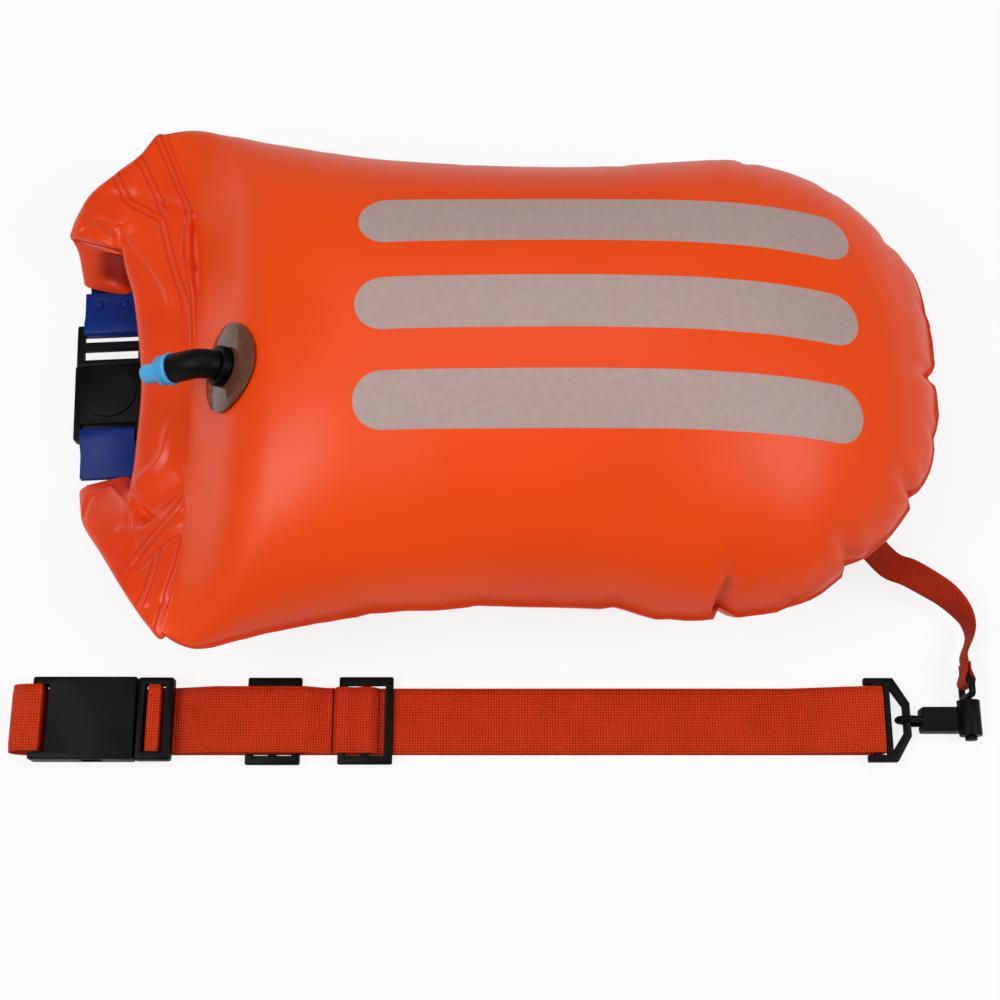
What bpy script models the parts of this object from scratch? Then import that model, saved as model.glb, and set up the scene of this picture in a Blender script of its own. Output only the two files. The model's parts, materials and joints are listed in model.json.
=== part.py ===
"""An open water swim buoy: an inflated dry bag with a rolled and buckled mouth, an oral valve,
a waist belt and the tether that joins them.

Metres, +Z up. The bag lies on its lower skin with its long axis along X, the rolled mouth
towards -X and the belt in front of it, towards -Y.
"""
import math

import bmesh
import bpy
from mathutils import Matrix, Vector

# Sheet, webbing and clearances
GAP = 0.0003
SKIN = 0.0008
LINER = 0.0005
WEB_THICK = 0.0014
CUT_OVERRUN = 0.002
EDGE = 0.0006

# The inflated chamber, from its crease at the mouth to the rounded end
CHAMBER_LENGTH = 0.414
CHAMBER_CREASE_X = -0.172
CHAMBER_CENTRE_Y = 0.007
CHAMBER_HALF_WIDTH = 0.153
CHAMBER_HEIGHT = 0.172
BELLY_DEPTH = 0.080
FAR_CORNER_REACH = 0.024
NEAR_CORNER_REACH = 0.008
SEAM_FLANGE = 0.003
CHAMBER_STEPS = 24
CHAMBER_SECTORS = 14
MID_Z = BELLY_DEPTH + SKIN

# Half width and half height along the chamber, as shares of the largest ones
WIDTH_SHARES = (
    (0.0, 1.0), (0.063, 0.961), (0.147, 0.922), (0.225, 0.889), (0.319, 0.869),
    (0.415, 0.853), (0.556, 0.846), (0.669, 0.873), (0.737, 0.873), (0.826, 0.810),
    (0.870, 0.739), (0.932, 0.582), (0.966, 0.444), (0.990, 0.307), (1.0, 0.160),
)
HEIGHT_SHARES = (
    (0.0, 0.05), (0.017, 0.175), (0.034, 0.30), (0.053, 0.448), (0.070, 0.575),
    (0.089, 0.68), (0.114, 0.767), (0.159, 0.85), (0.27, 0.93), (0.415, 0.965),
    (0.56, 0.965), (0.681, 0.919), (0.778, 0.814), (0.874, 0.605), (0.947, 0.349),
    (0.983, 0.163), (1.0, 0.023),
)

# The rolled mouth: its two halves as shares of (mouth reach, chamber half width, mid height),
# from the middle outwards. Each row is the neck edge, the free edge and the thickness share.
MOUTH_REACH = 0.100
ROLL_THICK = 0.015
ROLL_SIDES = 12
FAR_MOUTH_SHARES = (
    ((0.00, 0.00, 1.04), (0.31, 0.00, 0.74), 1.00),
    ((0.00, 0.27, 1.04), (0.32, 0.26, 0.74), 1.00),
    ((0.01, 0.53, 1.04), (0.41, 0.43, 0.77), 1.00),
    ((0.03, 0.77, 1.03), (0.44, 0.53, 0.82), 0.95),
    ((0.21, 0.985, 1.00), (0.55, 0.60, 0.85), 0.85),
    ((0.53, 0.90, 0.90), (0.71, 0.61, 0.82), 0.80),
    ((0.745, 0.82, 0.76), (0.76, 0.57, 0.70), 0.78),
    ((0.85, 0.68, 0.54), (0.53, 0.53, 0.52), 0.72),
    ((0.82, 0.545, 0.30), (0.43, 0.535, 0.30), 0.64),
)
NEAR_MOUTH_SHARES = (
    ((0.00, -0.26, 1.04), (0.30, -0.18, 0.74), 1.00),
    ((0.01, -0.52, 1.04), (0.33, -0.31, 0.70), 1.00),
    ((0.01, -0.76, 1.03), (0.35, -0.40, 0.65), 0.95),
    ((0.05, -0.95, 0.98), (0.35, -0.43, 0.59), 0.90),
    ((0.27, -0.80, 0.85), (0.345, -0.42, 0.52), 0.84),
    ((0.47, -0.63, 0.68), (0.34, -0.37, 0.44), 0.78),
    ((0.63, -0.47, 0.49), (0.355, -0.315, 0.36), 0.72),
    ((0.745, -0.33, 0.30), (0.385, -0.27, 0.30), 0.66),
)
MOUTH_GAP = 0.0006

# Closure strip inside the roll, its tabs and rivets
STRIP_WIDTH = 0.024
STRIP_THICK = 0.0014
STRIP_ROOM = 0.0014
FAR_STRIP_TAIL = 0.014
NEAR_STRIP_TAIL = 0.009
TAB_WIDTH = 0.0325
TAB_THICK = 0.0013
PLUG_TAB_TAIL = 0.0210
SOCKET_TAB_TAIL = 0.0235
RIVET_RADIUS = 0.0024
RIVET_HEAD = 0.0008
RIVET_SHANK = 0.0012
RIVET_SPREAD = 0.0078
TAB_END_ROOM = 0.00535

# Side release buckles: (width, thickness, socket length, frame length) and shared details
BELT_BUCKLE = (0.047, 0.0125, 0.059, 0.0205)
ROLL_BUCKLE = (0.041, 0.0095, 0.047, 0.0270)
BUCKLE_WALL = 0.0018
BUCKLE_BAR = 0.0045
BUCKLE_SLOT = 0.0052
FRAME_LAND = 0.0042
PRONG_SHARE = 0.5
LATCH_SHARE = 0.62
PRONG_ARM = 0.0036
PRONG_CATCH = 0.00035
PRONG_PAD = 0.0013
GUIDE_SHARE = 0.55
GUIDE_WIDTH = 0.0055
DISC_RADIUS = 0.0165
DISC_THICK = 0.0016
DISC_PLACE_SHARE = 0.36

# The belt lies in front of the bag; heights are of webbing centre lines
WEB_WIDTH = 0.038
WEB_WRAP = WEB_THICK / 2 + GAP
PLY_PITCH = WEB_THICK + GAP
BELT_Y = -0.1725
BELT_MOUTH_X = -0.206
PLY_LOW = 0.0009
PLY_MID = PLY_LOW + PLY_PITCH
PLY_HIGH = PLY_MID + PLY_PITCH
BELT_BUCKLE_Z = PLY_MID + WEB_WRAP + BELT_BUCKLE[1] / 2
LOOP_REACH = 0.012

# Tri-glides: (length along the belt, width across it, thickness), bars and places
GLIDE = (0.031, 0.050, 0.0036)
GLIDE_BAR = 0.0045
GLIDE_RAIL = 0.0050
UPPER_GLIDE_X = -0.0765
LOWER_GLIDE_X = -0.129
LOWER_GLIDE_TRAVEL = 0.015
LOWER_GLIDE_Z = PLY_LOW + WEB_WRAP + GLIDE[2] / 2
UPPER_GLIDE_Z = PLY_MID + WEB_WRAP + GLIDE[2] / 2
PLY_OVER = LOWER_GLIDE_Z + GLIDE[2] / 2 + WEB_WRAP + PLY_PITCH
PLY_SLOPE = 0.012

# Belt ring, measured from the middle of its rear bar
RING_X = 0.2135
RING_Z = 0.0072
RING_THICK = 0.0044
RING_HALF = 0.024
RING_ARM = 0.004
RING_TAIL = 0.0057
RING_BAR = 0.0040
RING_SLOT = 0.0034
RING_MIDDLE_BAR = 0.0033
RING_WINDOW = 0.0070
RING_SHOULDER = 0.011
RING_NOSE_HALF = 0.0095

# Snap hook, its gate and swivel eye
HOOK_WIRE = 0.0019
HOOK_ROOM = 0.0004
HOOK_SHAFT = (0.0240, 0.0140, 0.0115)
HOOK_SHAFT_X = 0.2392
GATE = (0.0122, 0.0060, 0.0015)
GATE_ROOM = 0.0020
BARREL_RADIUS = 0.0064
BARREL_LENGTH = 0.020
BARREL_X = 0.2655
EYE_Z = 0.0126
EYE_WIRE = 0.0020
EYE_HEIGHT = 0.0244
EYE_DEPTH = 0.0125
CORNER_CUT = 0.0010
STEM_RADIUS = 0.0021
STEM_HEAD = 0.0034
STEM_HEAD_THICK = 0.0022
STEM_ROOM = 0.0003

# Anchor under the bag and the tether from it to the swivel eye
ANCHOR_X_SHARE = 0.850
ANCHOR_Y_SHARE = -0.50
ANCHOR_RADIUS = 0.024
ANCHOR_THICK = 0.0009
DEE_WIRE = 0.0017
DEE_HALF = 0.0103
DEE_DEPTH = 0.012
DEE_DROP = 0.0048
LUG_TAIL = 0.014
TETHER_WIDTH = 0.0165
TETHER_LOOP = 0.0105
TETHER_POINTS = (
    (0.2232, -0.0855, 0.0255), (0.2349, -0.0900, 0.0235), (0.2466, -0.0962, 0.0215),
    (0.2566, -0.1022, 0.0190), (0.2645, -0.1100, 0.0165), (0.2690, -0.1180, 0.0145),
    (0.2695, -0.1260, 0.0130),
)
TETHER_TURN_SHARES = (0.0, 0.05, 0.12, 0.22, 0.34, 0.48, 0.64, 0.80, 0.93, 1.0, 1.0)

# Oral valve on the upper skin
VALVE_X_SHARE = 0.0684
VALVE_Y = -0.0073
VALVE_DISC_RADIUS = 0.0245
VALVE_DISC_THICK = 0.0010
VALVE_RING_RADIUS = 0.0105
VALVE_RING_HEIGHT = 0.0045
VALVE_BOSS_RADIUS = 0.0098
VALVE_BOSS_DEPTH = 0.0060
ELBOW_RADIUS = 0.0078
ELBOW_BORE = 0.0055
ELBOW_RUN = 0.012
ELBOW_BEND = 0.011
ELBOW_ANGLE = 62.0
ELBOW_SPIGOT = 0.0062
COLLAR_RADIUS = 0.0088
COLLAR_LENGTH = 0.0085
COLLAR_CAP = 0.0015
COLLAR_RIBS = 18
TIP_RADIUS = 0.0054
TIP_END_RADIUS = 0.0048
TIP_LENGTH = 0.0100
TIP_FLANGE = 0.0064
TIP_FLANGE_THICK = 0.0012
TIP_STEM = 0.0042
TIP_BORE = 0.0026
TIP_STROKE = 0.0030
POPPET_RADIUS = 0.0050
POPPET_THICK = 0.0012
POPPET_DEPTH = 0.0075
VALVE_SPRING_WIRE = 0.0004
VALVE_SPRING_TURNS = 2

ORANGE = (0.79, 0.09, 0.012, 1.0)
BELT_ORANGE = (0.55, 0.055, 0.004, 1.0)
BLACK = (0.012, 0.012, 0.014, 1.0)
BLUE = (0.02, 0.06, 0.30, 1.0)
PALE_BLUE = (0.18, 0.40, 0.62, 1.0)
SMOKE = (0.20, 0.05, 0.015, 1.0)
STEEL = (0.62, 0.62, 0.64, 1.0)


def new_collection(name):
    made = bpy.data.collections.new(name)
    bpy.context.scene.collection.children.link(made)
    return made


def material(name, colour, roughness, metallic=0.0):
    made = bpy.data.materials.new(name)
    made.use_nodes = True
    shader = made.node_tree.nodes["Principled BSDF"]
    shader.inputs["Base Color"].default_value = colour
    shader.inputs["Roughness"].default_value = roughness
    shader.inputs["Metallic"].default_value = metallic
    made.diffuse_color = colour
    return made


def empty(name, frame, parent=None):
    made = bpy.data.objects.new(name, None)
    PARTS.objects.link(made)
    made.parent = parent
    made.matrix_local = frame
    return made


def place(name, mesh, look, parent, frame=None):
    """An object for a mesh that is modelled in its parent's frame, or in frame within it."""
    made = bpy.data.objects.new(name, mesh)
    PARTS.objects.link(made)
    made.parent = parent
    if frame is not None:
        made.matrix_local = frame
    mesh.materials.append(look)
    mesh.shade_smooth()
    mesh.set_sharp_from_angle(angle=math.radians(35))
    return made


def mesh_of(bm, name):
    bmesh.ops.recalc_face_normals(bm, faces=bm.faces)
    mesh = bpy.data.meshes.new(name)
    bm.to_mesh(mesh)
    bm.free()
    return mesh


def box_mesh(name, size, centre):
    bm = bmesh.new()
    bmesh.ops.create_cube(bm, size=1.0)
    bmesh.ops.scale(bm, vec=size, verts=bm.verts)
    bmesh.ops.translate(bm, vec=centre, verts=bm.verts)
    return mesh_of(bm, name)


def rod_mesh(name, start, end, radius, sides=16, end_radius=None):
    """A round rod between two points."""
    start, end = Vector(start), Vector(end)
    run = end - start
    bm = bmesh.new()
    bmesh.ops.create_cone(
        bm, cap_ends=True, segments=sides, radius1=radius,
        radius2=radius if end_radius is None else end_radius, depth=run.length,
    )
    turn = Vector((0, 0, 1)).rotation_difference(run).to_matrix().to_4x4()
    bmesh.ops.transform(bm, matrix=Matrix.Translation((start + end) / 2) @ turn, verts=bm.verts)
    return mesh_of(bm, name)


def outline_mesh(name, points, thickness, centre_z=0.0):
    """A flat outline in X and Y as a plate whose middle is at centre_z."""
    bm = bmesh.new()
    low = [bm.verts.new((x, y, centre_z - thickness / 2)) for x, y in points]
    base = bm.faces.new(low)
    grown = bmesh.ops.extrude_face_region(bm, geom=[base])
    top = [v for v in grown["geom"] if isinstance(v, bmesh.types.BMVert)]
    bmesh.ops.translate(bm, vec=(0, 0, thickness), verts=top)
    return mesh_of(bm, name)


def join_rings(bm, rings, closed=False):
    """Walls between successive rings of the same count."""
    pairs = list(zip(rings, rings[1:]))
    if closed:
        pairs.append((rings[-1], rings[0]))
    for lower, upper in pairs:
        for i in range(len(lower)):
            j = (i + 1) % len(lower)
            bm.faces.new((lower[i], lower[j], upper[j], upper[i]))


def cap(bm, ring):
    bm.faces.new(ring)


def tube_mesh(name, rings, bores=None):
    """A loft through rings of points; with bores it is a pipe that is open at both ends."""
    bm = bmesh.new()
    outer = [[bm.verts.new(p) for p in ring] for ring in rings]
    join_rings(bm, outer)
    if bores is None:
        cap(bm, outer[0])
        cap(bm, outer[-1])
        return mesh_of(bm, name)
    inner = [[bm.verts.new(p) for p in ring] for ring in bores]
    join_rings(bm, inner)
    join_rings(bm, [outer[0], inner[0]])
    join_rings(bm, [outer[-1], inner[-1]])
    return mesh_of(bm, name)


def circle(centre, across, up, radius, sides, start=0.0):
    return [
        centre
        + across * (radius * math.cos(start + 2 * math.pi * i / sides))
        + up * (radius * math.sin(start + 2 * math.pi * i / sides))
        for i in range(sides)
    ]


def path_rings(points, radius, sides, hint):
    """Rings across a smooth path; hint is a direction that is never along it."""
    rings = []
    for i, point in enumerate(points):
        run = points[min(i + 1, len(points) - 1)] - points[max(i - 1, 0)]
        across = run.cross(hint).normalized()
        up = across.cross(run).normalized()
        rings.append(circle(point, across, up, radius, sides))
    return rings


def ribbon(name, points, sides, thickness, look, parent):
    """A strap: an open strip between two edge lines, thickened by a Solidify modifier."""
    bm = bmesh.new()
    left = [bm.verts.new(p + s) for p, s in zip(points, sides)]
    right = [bm.verts.new(p - s) for p, s in zip(points, sides)]
    for i in range(len(points) - 1):
        bm.faces.new((left[i], left[i + 1], right[i + 1], right[i]))
    mesh = bpy.data.meshes.new(name)
    bm.to_mesh(mesh)
    bm.free()
    made = place(name, mesh, look, parent)
    shell = made.modifiers.new("thickness", "SOLIDIFY")
    shell.thickness = thickness
    shell.offset = 0
    shell.use_even_offset = True
    return made


def turned(name, profile, look, parent, frame=None, sides=24):
    """A turned piece about Z from a closed (radius, height) outline, down its outer side."""
    bm = bmesh.new()
    points = [bm.verts.new((radius, 0, height)) for radius, height in profile]
    pairs = list(zip(points, points[1:]))
    if profile[0][0] > 0:
        pairs.append((points[-1], points[0]))
    for a, b in pairs:
        bm.edges.new((a, b))
    mesh = bpy.data.meshes.new(name)
    bm.to_mesh(mesh)
    bm.free()
    made = place(name, mesh, look, parent, frame)
    screw = made.modifiers.new("turn", "SCREW")
    screw.axis = "Z"
    screw.angle = 2 * math.pi
    screw.steps = sides
    screw.render_steps = sides
    screw.use_merge_vertices = True
    screw.merge_threshold = 0.00001
    screw.use_smooth_shade = True
    return made


def cutter(name, mesh, parent, frame=None):
    made = bpy.data.objects.new(name, mesh)
    CUTTERS.objects.link(made)
    made.parent = parent
    if frame is not None:
        made.matrix_local = frame
    made.hide_render = True
    made.display_type = "WIRE"
    return made


def boolean(target, other, how="DIFFERENCE"):
    step = target.modifiers.new(how.lower(), "BOOLEAN")
    step.operation = how
    step.object = other
    step.solver = "EXACT"
    return step


def cut(target, mesh, parent, frame=None):
    boolean(target, cutter(target.name + "_" + mesh.name, mesh, parent, frame))


def add(target, mesh, parent, frame=None):
    boolean(target, cutter(target.name + "_" + mesh.name, mesh, parent, frame), "UNION")


def bevel(target, width, segments=2):
    step = target.modifiers.new("edges", "BEVEL")
    step.width = width
    step.segments = segments
    step.limit_method = "ANGLE"
    step.angle_limit = math.radians(40)
    return step


def eased(table, at):
    """The smooth curve through a table of (place, value) rows, read at one place."""
    at = min(max(at, table[0][0]), table[-1][0])
    i = max(k for k in range(len(table) - 1) if table[k][0] <= at)
    (x0, y0), (x1, y1) = table[i], table[i + 1]
    before = table[max(i - 1, 0)]
    after = table[min(i + 2, len(table) - 1)]
    slope0 = (y1 - before[1]) / (x1 - before[0])
    slope1 = (after[1] - y0) / (after[0] - x0)
    t = (at - x0) / (x1 - x0)
    wide = x1 - x0
    return (
        y0 * (2 * t**3 - 3 * t**2 + 1)
        + y1 * (3 * t**2 - 2 * t**3)
        + slope0 * wide * (t**3 - 2 * t**2 + t)
        + slope1 * wide * (t**3 - t**2)
    )


def half_width(share):
    return CHAMBER_HALF_WIDTH * eased(WIDTH_SHARES, share)


def half_height(share):
    return CHAMBER_HEIGHT / 2 * eased(HEIGHT_SHARES, share)


def left_edge(across):
    """Where the chamber starts in X at a share of its half width; its corners reach back."""
    reach = FAR_CORNER_REACH if across > 0 else NEAR_CORNER_REACH
    return CHAMBER_CREASE_X - reach * max(0.0, (abs(across) - 0.6) / 0.4) ** 2


def chamber_point(share, angle, side):
    """A point of the inflated skin: side is +1 for the upper skin and -1 for the lower."""
    across = math.sin(angle)
    corner = (left_edge(across) - CHAMBER_CREASE_X) * max(0.0, 1 - share / 0.2) ** 2
    return Vector((
        CHAMBER_CREASE_X + CHAMBER_LENGTH * share + corner,
        CHAMBER_CENTRE_Y + half_width(share) * across,
        MID_Z + max(side * half_height(share) * math.cos(angle), -BELLY_DEPTH),
    ))


def chamber_shares():
    return [
        0.5 - 0.5 * math.cos(math.pi * i / CHAMBER_STEPS)
        for i in range(CHAMBER_STEPS + 1)
    ]


def seam_line():
    """The seam round the chamber in plan, from the far mouth corner to the near one."""
    shares = chamber_shares()
    far = [chamber_point(s, math.pi / 2, 1) for s in shares]
    near = [chamber_point(s, -math.pi / 2, 1) for s in reversed(shares)]
    steps = CHAMBER_SECTORS
    end = [
        chamber_point(1.0, math.pi / 2 - math.pi * i / steps, 1)
        for i in range(1, steps)
    ]
    return far + end + near


def outward(points, i):
    """The level direction away from the chamber at one point of its seam."""
    run = points[min(i + 1, len(points) - 1)] - points[max(i - 1, 0)]
    return Vector((-run.y, run.x, 0)).normalized()


def skin(name, side, look, parent):
    """One outer skin: a domed open sheet with its weld flange, thickened outwards."""
    stack = LINER + GAP + GAP / 2
    bm = bmesh.new()
    rows = []
    for share in chamber_shares():
        row = []
        for k in range(CHAMBER_SECTORS + 1):
            angle = math.pi / 2 - math.pi * k / CHAMBER_SECTORS
            lift = side * stack * math.sin(abs(angle)) ** 4
            row.append(bm.verts.new(chamber_point(share, angle, side) + Vector((0, 0, lift))))
        rows.append(row)
    for a, b in zip(rows, rows[1:]):
        for k in range(CHAMBER_SECTORS):
            bm.faces.new((a[k], b[k], b[k + 1], a[k + 1]))
    rim = [r[0] for r in rows] + rows[-1][1:-1] + [r[-1] for r in reversed(rows)]
    line = [v.co.copy() for v in rim]
    flange = []
    for i, point in enumerate(line):
        spot = point + outward(line, i) * SEAM_FLANGE
        flange.append(bm.verts.new((spot.x, spot.y, MID_Z + side * stack)))
    for i in range(len(rim) - 1):
        bm.faces.new((rim[i], flange[i], flange[i + 1], rim[i + 1]))
    return sheet(bm, name, Vector((0, 0, side)), SKIN, look, parent)


def sheet(bm, name, facing, thickness, look, parent):
    """An open sheet whose faces look one way, thickened that way by a Solidify modifier."""
    bmesh.ops.recalc_face_normals(bm, faces=bm.faces)
    bm.normal_update()
    if sum((f.normal * f.calc_area() for f in bm.faces), Vector()).dot(facing) < 0:
        bmesh.ops.reverse_faces(bm, faces=bm.faces)
    mesh = bpy.data.meshes.new(name)
    bm.to_mesh(mesh)
    bm.free()
    made = place(name, mesh, look, parent)
    shell = made.modifiers.new("sheet", "SOLIDIFY")
    shell.thickness = thickness
    shell.offset = 1
    return made


def liner(name, side, look, parent):
    """One inner sheet of the dry compartment, pressed flat by the air on both sides of it."""
    steps = CHAMBER_SECTORS
    back = [
        chamber_point(0, -math.pi / 2 + math.pi * i / steps, 1)
        for i in range(1, steps)
    ]
    points = [(p.x, p.y) for p in seam_line() + back]
    centre_z = MID_Z + side * (LINER / 2 + GAP / 2)
    return place(name, outline_mesh(name, points, LINER, centre_z), look, parent)


def skin_normal(share, angle, side):
    """The outward normal of the inflated skin."""
    step = 0.001
    along = chamber_point(share + step, angle, side) - chamber_point(share - step, angle, side)
    round_it = chamber_point(share, angle + step, side) - chamber_point(share, angle - step, side)
    normal = along.cross(round_it).normalized()
    return normal if normal.z * side > 0 else -normal


def skin_patch(name, share, angle, side, radius, thickness, hole, look, parent):
    """A round patch that follows the skin, lying GAP off it, with an optional round hole."""
    seat = chamber_point(share, angle, side)
    normal = skin_normal(share, angle, side)
    along = Vector((normal.z, 0, -normal.x)).normalized()
    across = normal.cross(along)
    sides = 24
    steps = 3
    bm = bmesh.new()
    rings = []
    for i in range(steps + 1):
        reach = hole + (radius - hole) * i / steps
        ring = []
        for k in range(sides):
            turn = 2 * math.pi * k / sides
            flat = seat + along * (reach * math.cos(turn)) + across * (reach * math.sin(turn))
            ring.append(bm.verts.new(on_skin(flat, normal, side) + normal * (SKIN + 2 * GAP)))
        rings.append(ring)
    join_rings(bm, rings)
    if hole == 0:
        bmesh.ops.remove_doubles(bm, verts=rings[0], dist=0.00001)
    return sheet(bm, name, normal, thickness, look, parent)


def on_skin(spot, normal, side):
    """The skin's point reached from a spot near it along a direction."""
    for _ in range(12):
        share = (spot.x - CHAMBER_CREASE_X) / CHAMBER_LENGTH
        across = (spot.y - CHAMBER_CENTRE_Y) / half_width(share)
        surface = chamber_point(share, math.asin(max(-1.0, min(1.0, across))), side)
        spot = spot + normal * ((surface.z - spot.z) * normal.z)
    return spot


def end_middle(rows):
    """The middle of the roll's end across the bag, as a share of the half width."""
    neck, free, _ = rows[-1]
    return (neck[1] + free[1]) / 2


def end_shift():
    """How far each end of the roll moves so that the buckle and its two tabs fit between them."""
    plug_side = ROLL_BUCKLE[3] + PLUG_TAB_TAIL + FAR_STRIP_TAIL / 3
    socket_side = ROLL_BUCKLE[2] + SOCKET_TAB_TAIL + TAB_END_ROOM
    width_share = end_middle(FAR_MOUTH_SHARES) - end_middle(NEAR_MOUTH_SHARES)
    return (plug_side + socket_side - CHAMBER_HALF_WIDTH * width_share) / 2


def mouth_stations():
    """Edge points and thickness round the rolled mouth, from the near end to the far one."""
    rows = []
    top_share = FAR_MOUTH_SHARES[0][0][2]
    for side, half in ((-1, list(reversed(NEAR_MOUTH_SHARES))), (1, list(FAR_MOUTH_SHARES))):
        end_share = half[0 if side < 0 else -1][0][2]
        for neck, free, thick in half:
            down_share = (top_share - neck[2]) / (top_share - end_share)
            edges = [
                Vector((
                    CHAMBER_CREASE_X - MOUTH_GAP - MOUTH_REACH * x,
                    CHAMBER_CENTRE_Y + CHAMBER_HALF_WIDTH * y + side * down_share * end_shift(),
                    MID_Z * z,
                ))
                for x, y, z in (neck, free)
            ]
            rows.append((edges[0], edges[1], ROLL_THICK * thick))
    return rows


def smooth_line(points, steps):
    """A smooth curve through points, with steps points in each span."""
    out = []
    for i in range(len(points) - 1):
        p0 = points[max(i - 1, 0)]
        p1, p2 = points[i], points[i + 1]
        p3 = points[min(i + 2, len(points) - 1)]
        for k in range(steps):
            t = k / steps
            out.append(
                0.5 * (
                    2 * p1 + (p2 - p0) * t
                    + (2 * p0 - 5 * p1 + 4 * p2 - p3) * t**2
                    + (3 * p1 - p0 - 3 * p2 + p3) * t**3
                )
            )
    out.append(points[-1])
    return out


def mouth_line(steps=3):
    """Centres, half-width vectors, normals and thicknesses along the rolled mouth."""
    stations = mouth_stations()
    neck = smooth_line([s[0] for s in stations], steps)
    free = smooth_line([s[1] for s in stations], steps)
    thick = smooth_line([Vector((s[2], 0, 0)) for s in stations], steps)
    for point in neck:
        across = (point.y - CHAMBER_CENTRE_Y) / CHAMBER_HALF_WIDTH
        corner = min(1.0, max(0.0, (abs(across) - 0.5) * 10))
        if abs(across) < 1:
            point.x = min(point.x, left_edge(across) - MOUTH_GAP * (1 + corner))
    rows = []
    for i in range(len(neck)):
        before, after = max(i - 1, 0), min(i + 1, len(neck) - 1)
        run = (neck[after] + free[after] - neck[before] - free[before]).normalized()
        half = (neck[i] - free[i]) / 2
        rows.append(((neck[i] + free[i]) / 2, half, run.cross(half).normalized(), thick[i].x))
    return rows


def strip_ring(row, room):
    """The closure strip's section at one row of the mouth, grown by room on every side."""
    centre, half, normal, _ = row
    wide = half.normalized() * (STRIP_WIDTH / 2 + room)
    deep = normal * (STRIP_THICK / 2 + room)
    return [
        centre + wide * x + deep * y
        for x, y in (
            (1, 0), (1, 1), (0.5, 1), (0, 1), (-0.5, 1), (-1, 1),
            (-1, 0), (-1, -1), (-0.5, -1), (0, -1), (0.5, -1), (1, -1),
        )
    ]


def rolled_mouth(look, parent):
    """The mouth rolled on itself: a bent flat roll with a passage for the closure strip."""
    rings = []
    for centre, half, normal, thick in mouth_line():
        rings.append([
            centre
            + half * math.cos(2 * math.pi * k / ROLL_SIDES)
            + normal * (thick / 2 * math.sin(2 * math.pi * k / ROLL_SIDES))
            for k in range(ROLL_SIDES)
        ])
    bores = [strip_ring(row, STRIP_ROOM) for row in mouth_line()]
    return place("rolled_mouth", tube_mesh("rolled_mouth", rings, bores), look, parent)


def closure_strip(look, parent, frame):
    """The stiff strip in the roll, which comes out at both ends towards the buckle."""
    rows = mouth_line()
    along = (frame @ Vector((1, 0, 0))) - frame.translation
    wide = (frame @ Vector((0, 1, 0))) - frame.translation
    far_x = ROLL_BUCKLE[3] + PLUG_TAB_TAIL - FAR_STRIP_TAIL
    near_end = rows[0][0] + along * NEAR_STRIP_TAIL
    far_end = frame @ Vector((far_x, 0, 0))
    first, last = rows[0], rows[-1]
    ends = []
    for end, row in ((near_end, first), (far_end, last)):
        half = wide if wide.dot(row[1]) > 0 else -wide
        normal = along.cross(half) if along.cross(half).dot(row[2]) > 0 else half.cross(along)
        ends += [((end * 2 + row[0]) / 3, half, normal, 0), (end, half, normal, 0)]
    rows = [ends[1], ends[0]] + rows + ends[2:]
    rings = [strip_ring(row, 0) for row in rows]
    made = place("closure_strip", tube_mesh("closure_strip", rings), look, parent)
    cut_rivet_holes(made, frame)
    return made


def cut_rivet_holes(piece, frame):
    """Holes for the two rivet shanks, straight through a strap at the plug's tab."""
    seat = empty(piece.name + "_rivets", frame)
    for i, place_y in enumerate((-RIVET_SPREAD, RIVET_SPREAD)):
        high = ROLL_BUCKLE[1]
        cut(piece, rod_mesh(
            f"hole_{i}", (rivet_x(), place_y, -high), (rivet_x(), place_y, high),
            RIVET_SHANK + GAP, 12,
        ), seat)


def rivet_x():
    """Where the rivets pass the tab, measured from the buckle's mouth."""
    return ROLL_BUCKLE[3] + PLUG_TAB_TAIL - FAR_STRIP_TAIL / 2


def socket_half(prefix, sizes, look, parent, faced):
    """The socket half of a side release buckle, from its strap bar at -X to its mouth at 0."""
    width, thick, length, _ = sizes
    reach = length * PRONG_SHARE
    latch = reach * LATCH_SHARE
    deep = reach + BUCKLE_WALL
    made = place(
        prefix + "_socket",
        box_mesh("socket", (length, width, thick), (-length / 2, 0, 0)), look, parent,
    )
    bevel(made, EDGE * 2)
    if faced:
        disc_x = -length * DISC_PLACE_SHARE
        add(made, rod_mesh(
            "disc", (disc_x, 0, 0), (disc_x, 0, thick / 2 + DISC_THICK), DISC_RADIUS, 32,
        ), parent)
    tall = thick - 2 * BUCKLE_WALL
    cut(made, box_mesh(
        "cavity", (deep + CUT_OVERRUN, width - 2 * BUCKLE_WALL, tall),
        ((CUT_OVERRUN - deep) / 2, 0, 0),
    ), parent)
    window = reach - latch + GAP
    cut(made, box_mesh(
        "windows", (window, width + 2 * CUT_OVERRUN, tall - GAP), (-latch - window / 2 + GAP, 0, 0),
    ), parent)
    slot_x = -length + BUCKLE_BAR + BUCKLE_SLOT / 2
    cut(made, box_mesh(
        "slot", (BUCKLE_SLOT, width - 2 * FRAME_LAND, thick + 2 * CUT_OVERRUN), (slot_x, 0, 0),
    ), parent)
    return made


def plug_half(prefix, sizes, look, parent):
    """The plug half: a ladder frame with a centre bar, and a guide that enters the socket."""
    width, thick, socket_length, length = sizes
    frame_thick = plug_thickness(sizes)
    guide = socket_length * PRONG_SHARE * GUIDE_SHARE
    made = place(
        prefix + "_plug",
        box_mesh("plug", (length - GAP, width, frame_thick), ((length + GAP) / 2, 0, 0)),
        look, parent,
    )
    bevel(made, EDGE * 2)
    add(made, box_mesh(
        "guide", (guide + FRAME_LAND / 2, GUIDE_WIDTH, frame_thick / 2),
        ((FRAME_LAND / 2 - guide) / 2, 0, 0),
    ), parent)
    for name, low, high in plug_slots(length):
        cut(made, box_mesh(
            name, (high - low, width - 2 * FRAME_LAND, thick + 2 * CUT_OVERRUN),
            ((low + high) / 2, 0, 0),
        ), parent)
    return made


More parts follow.
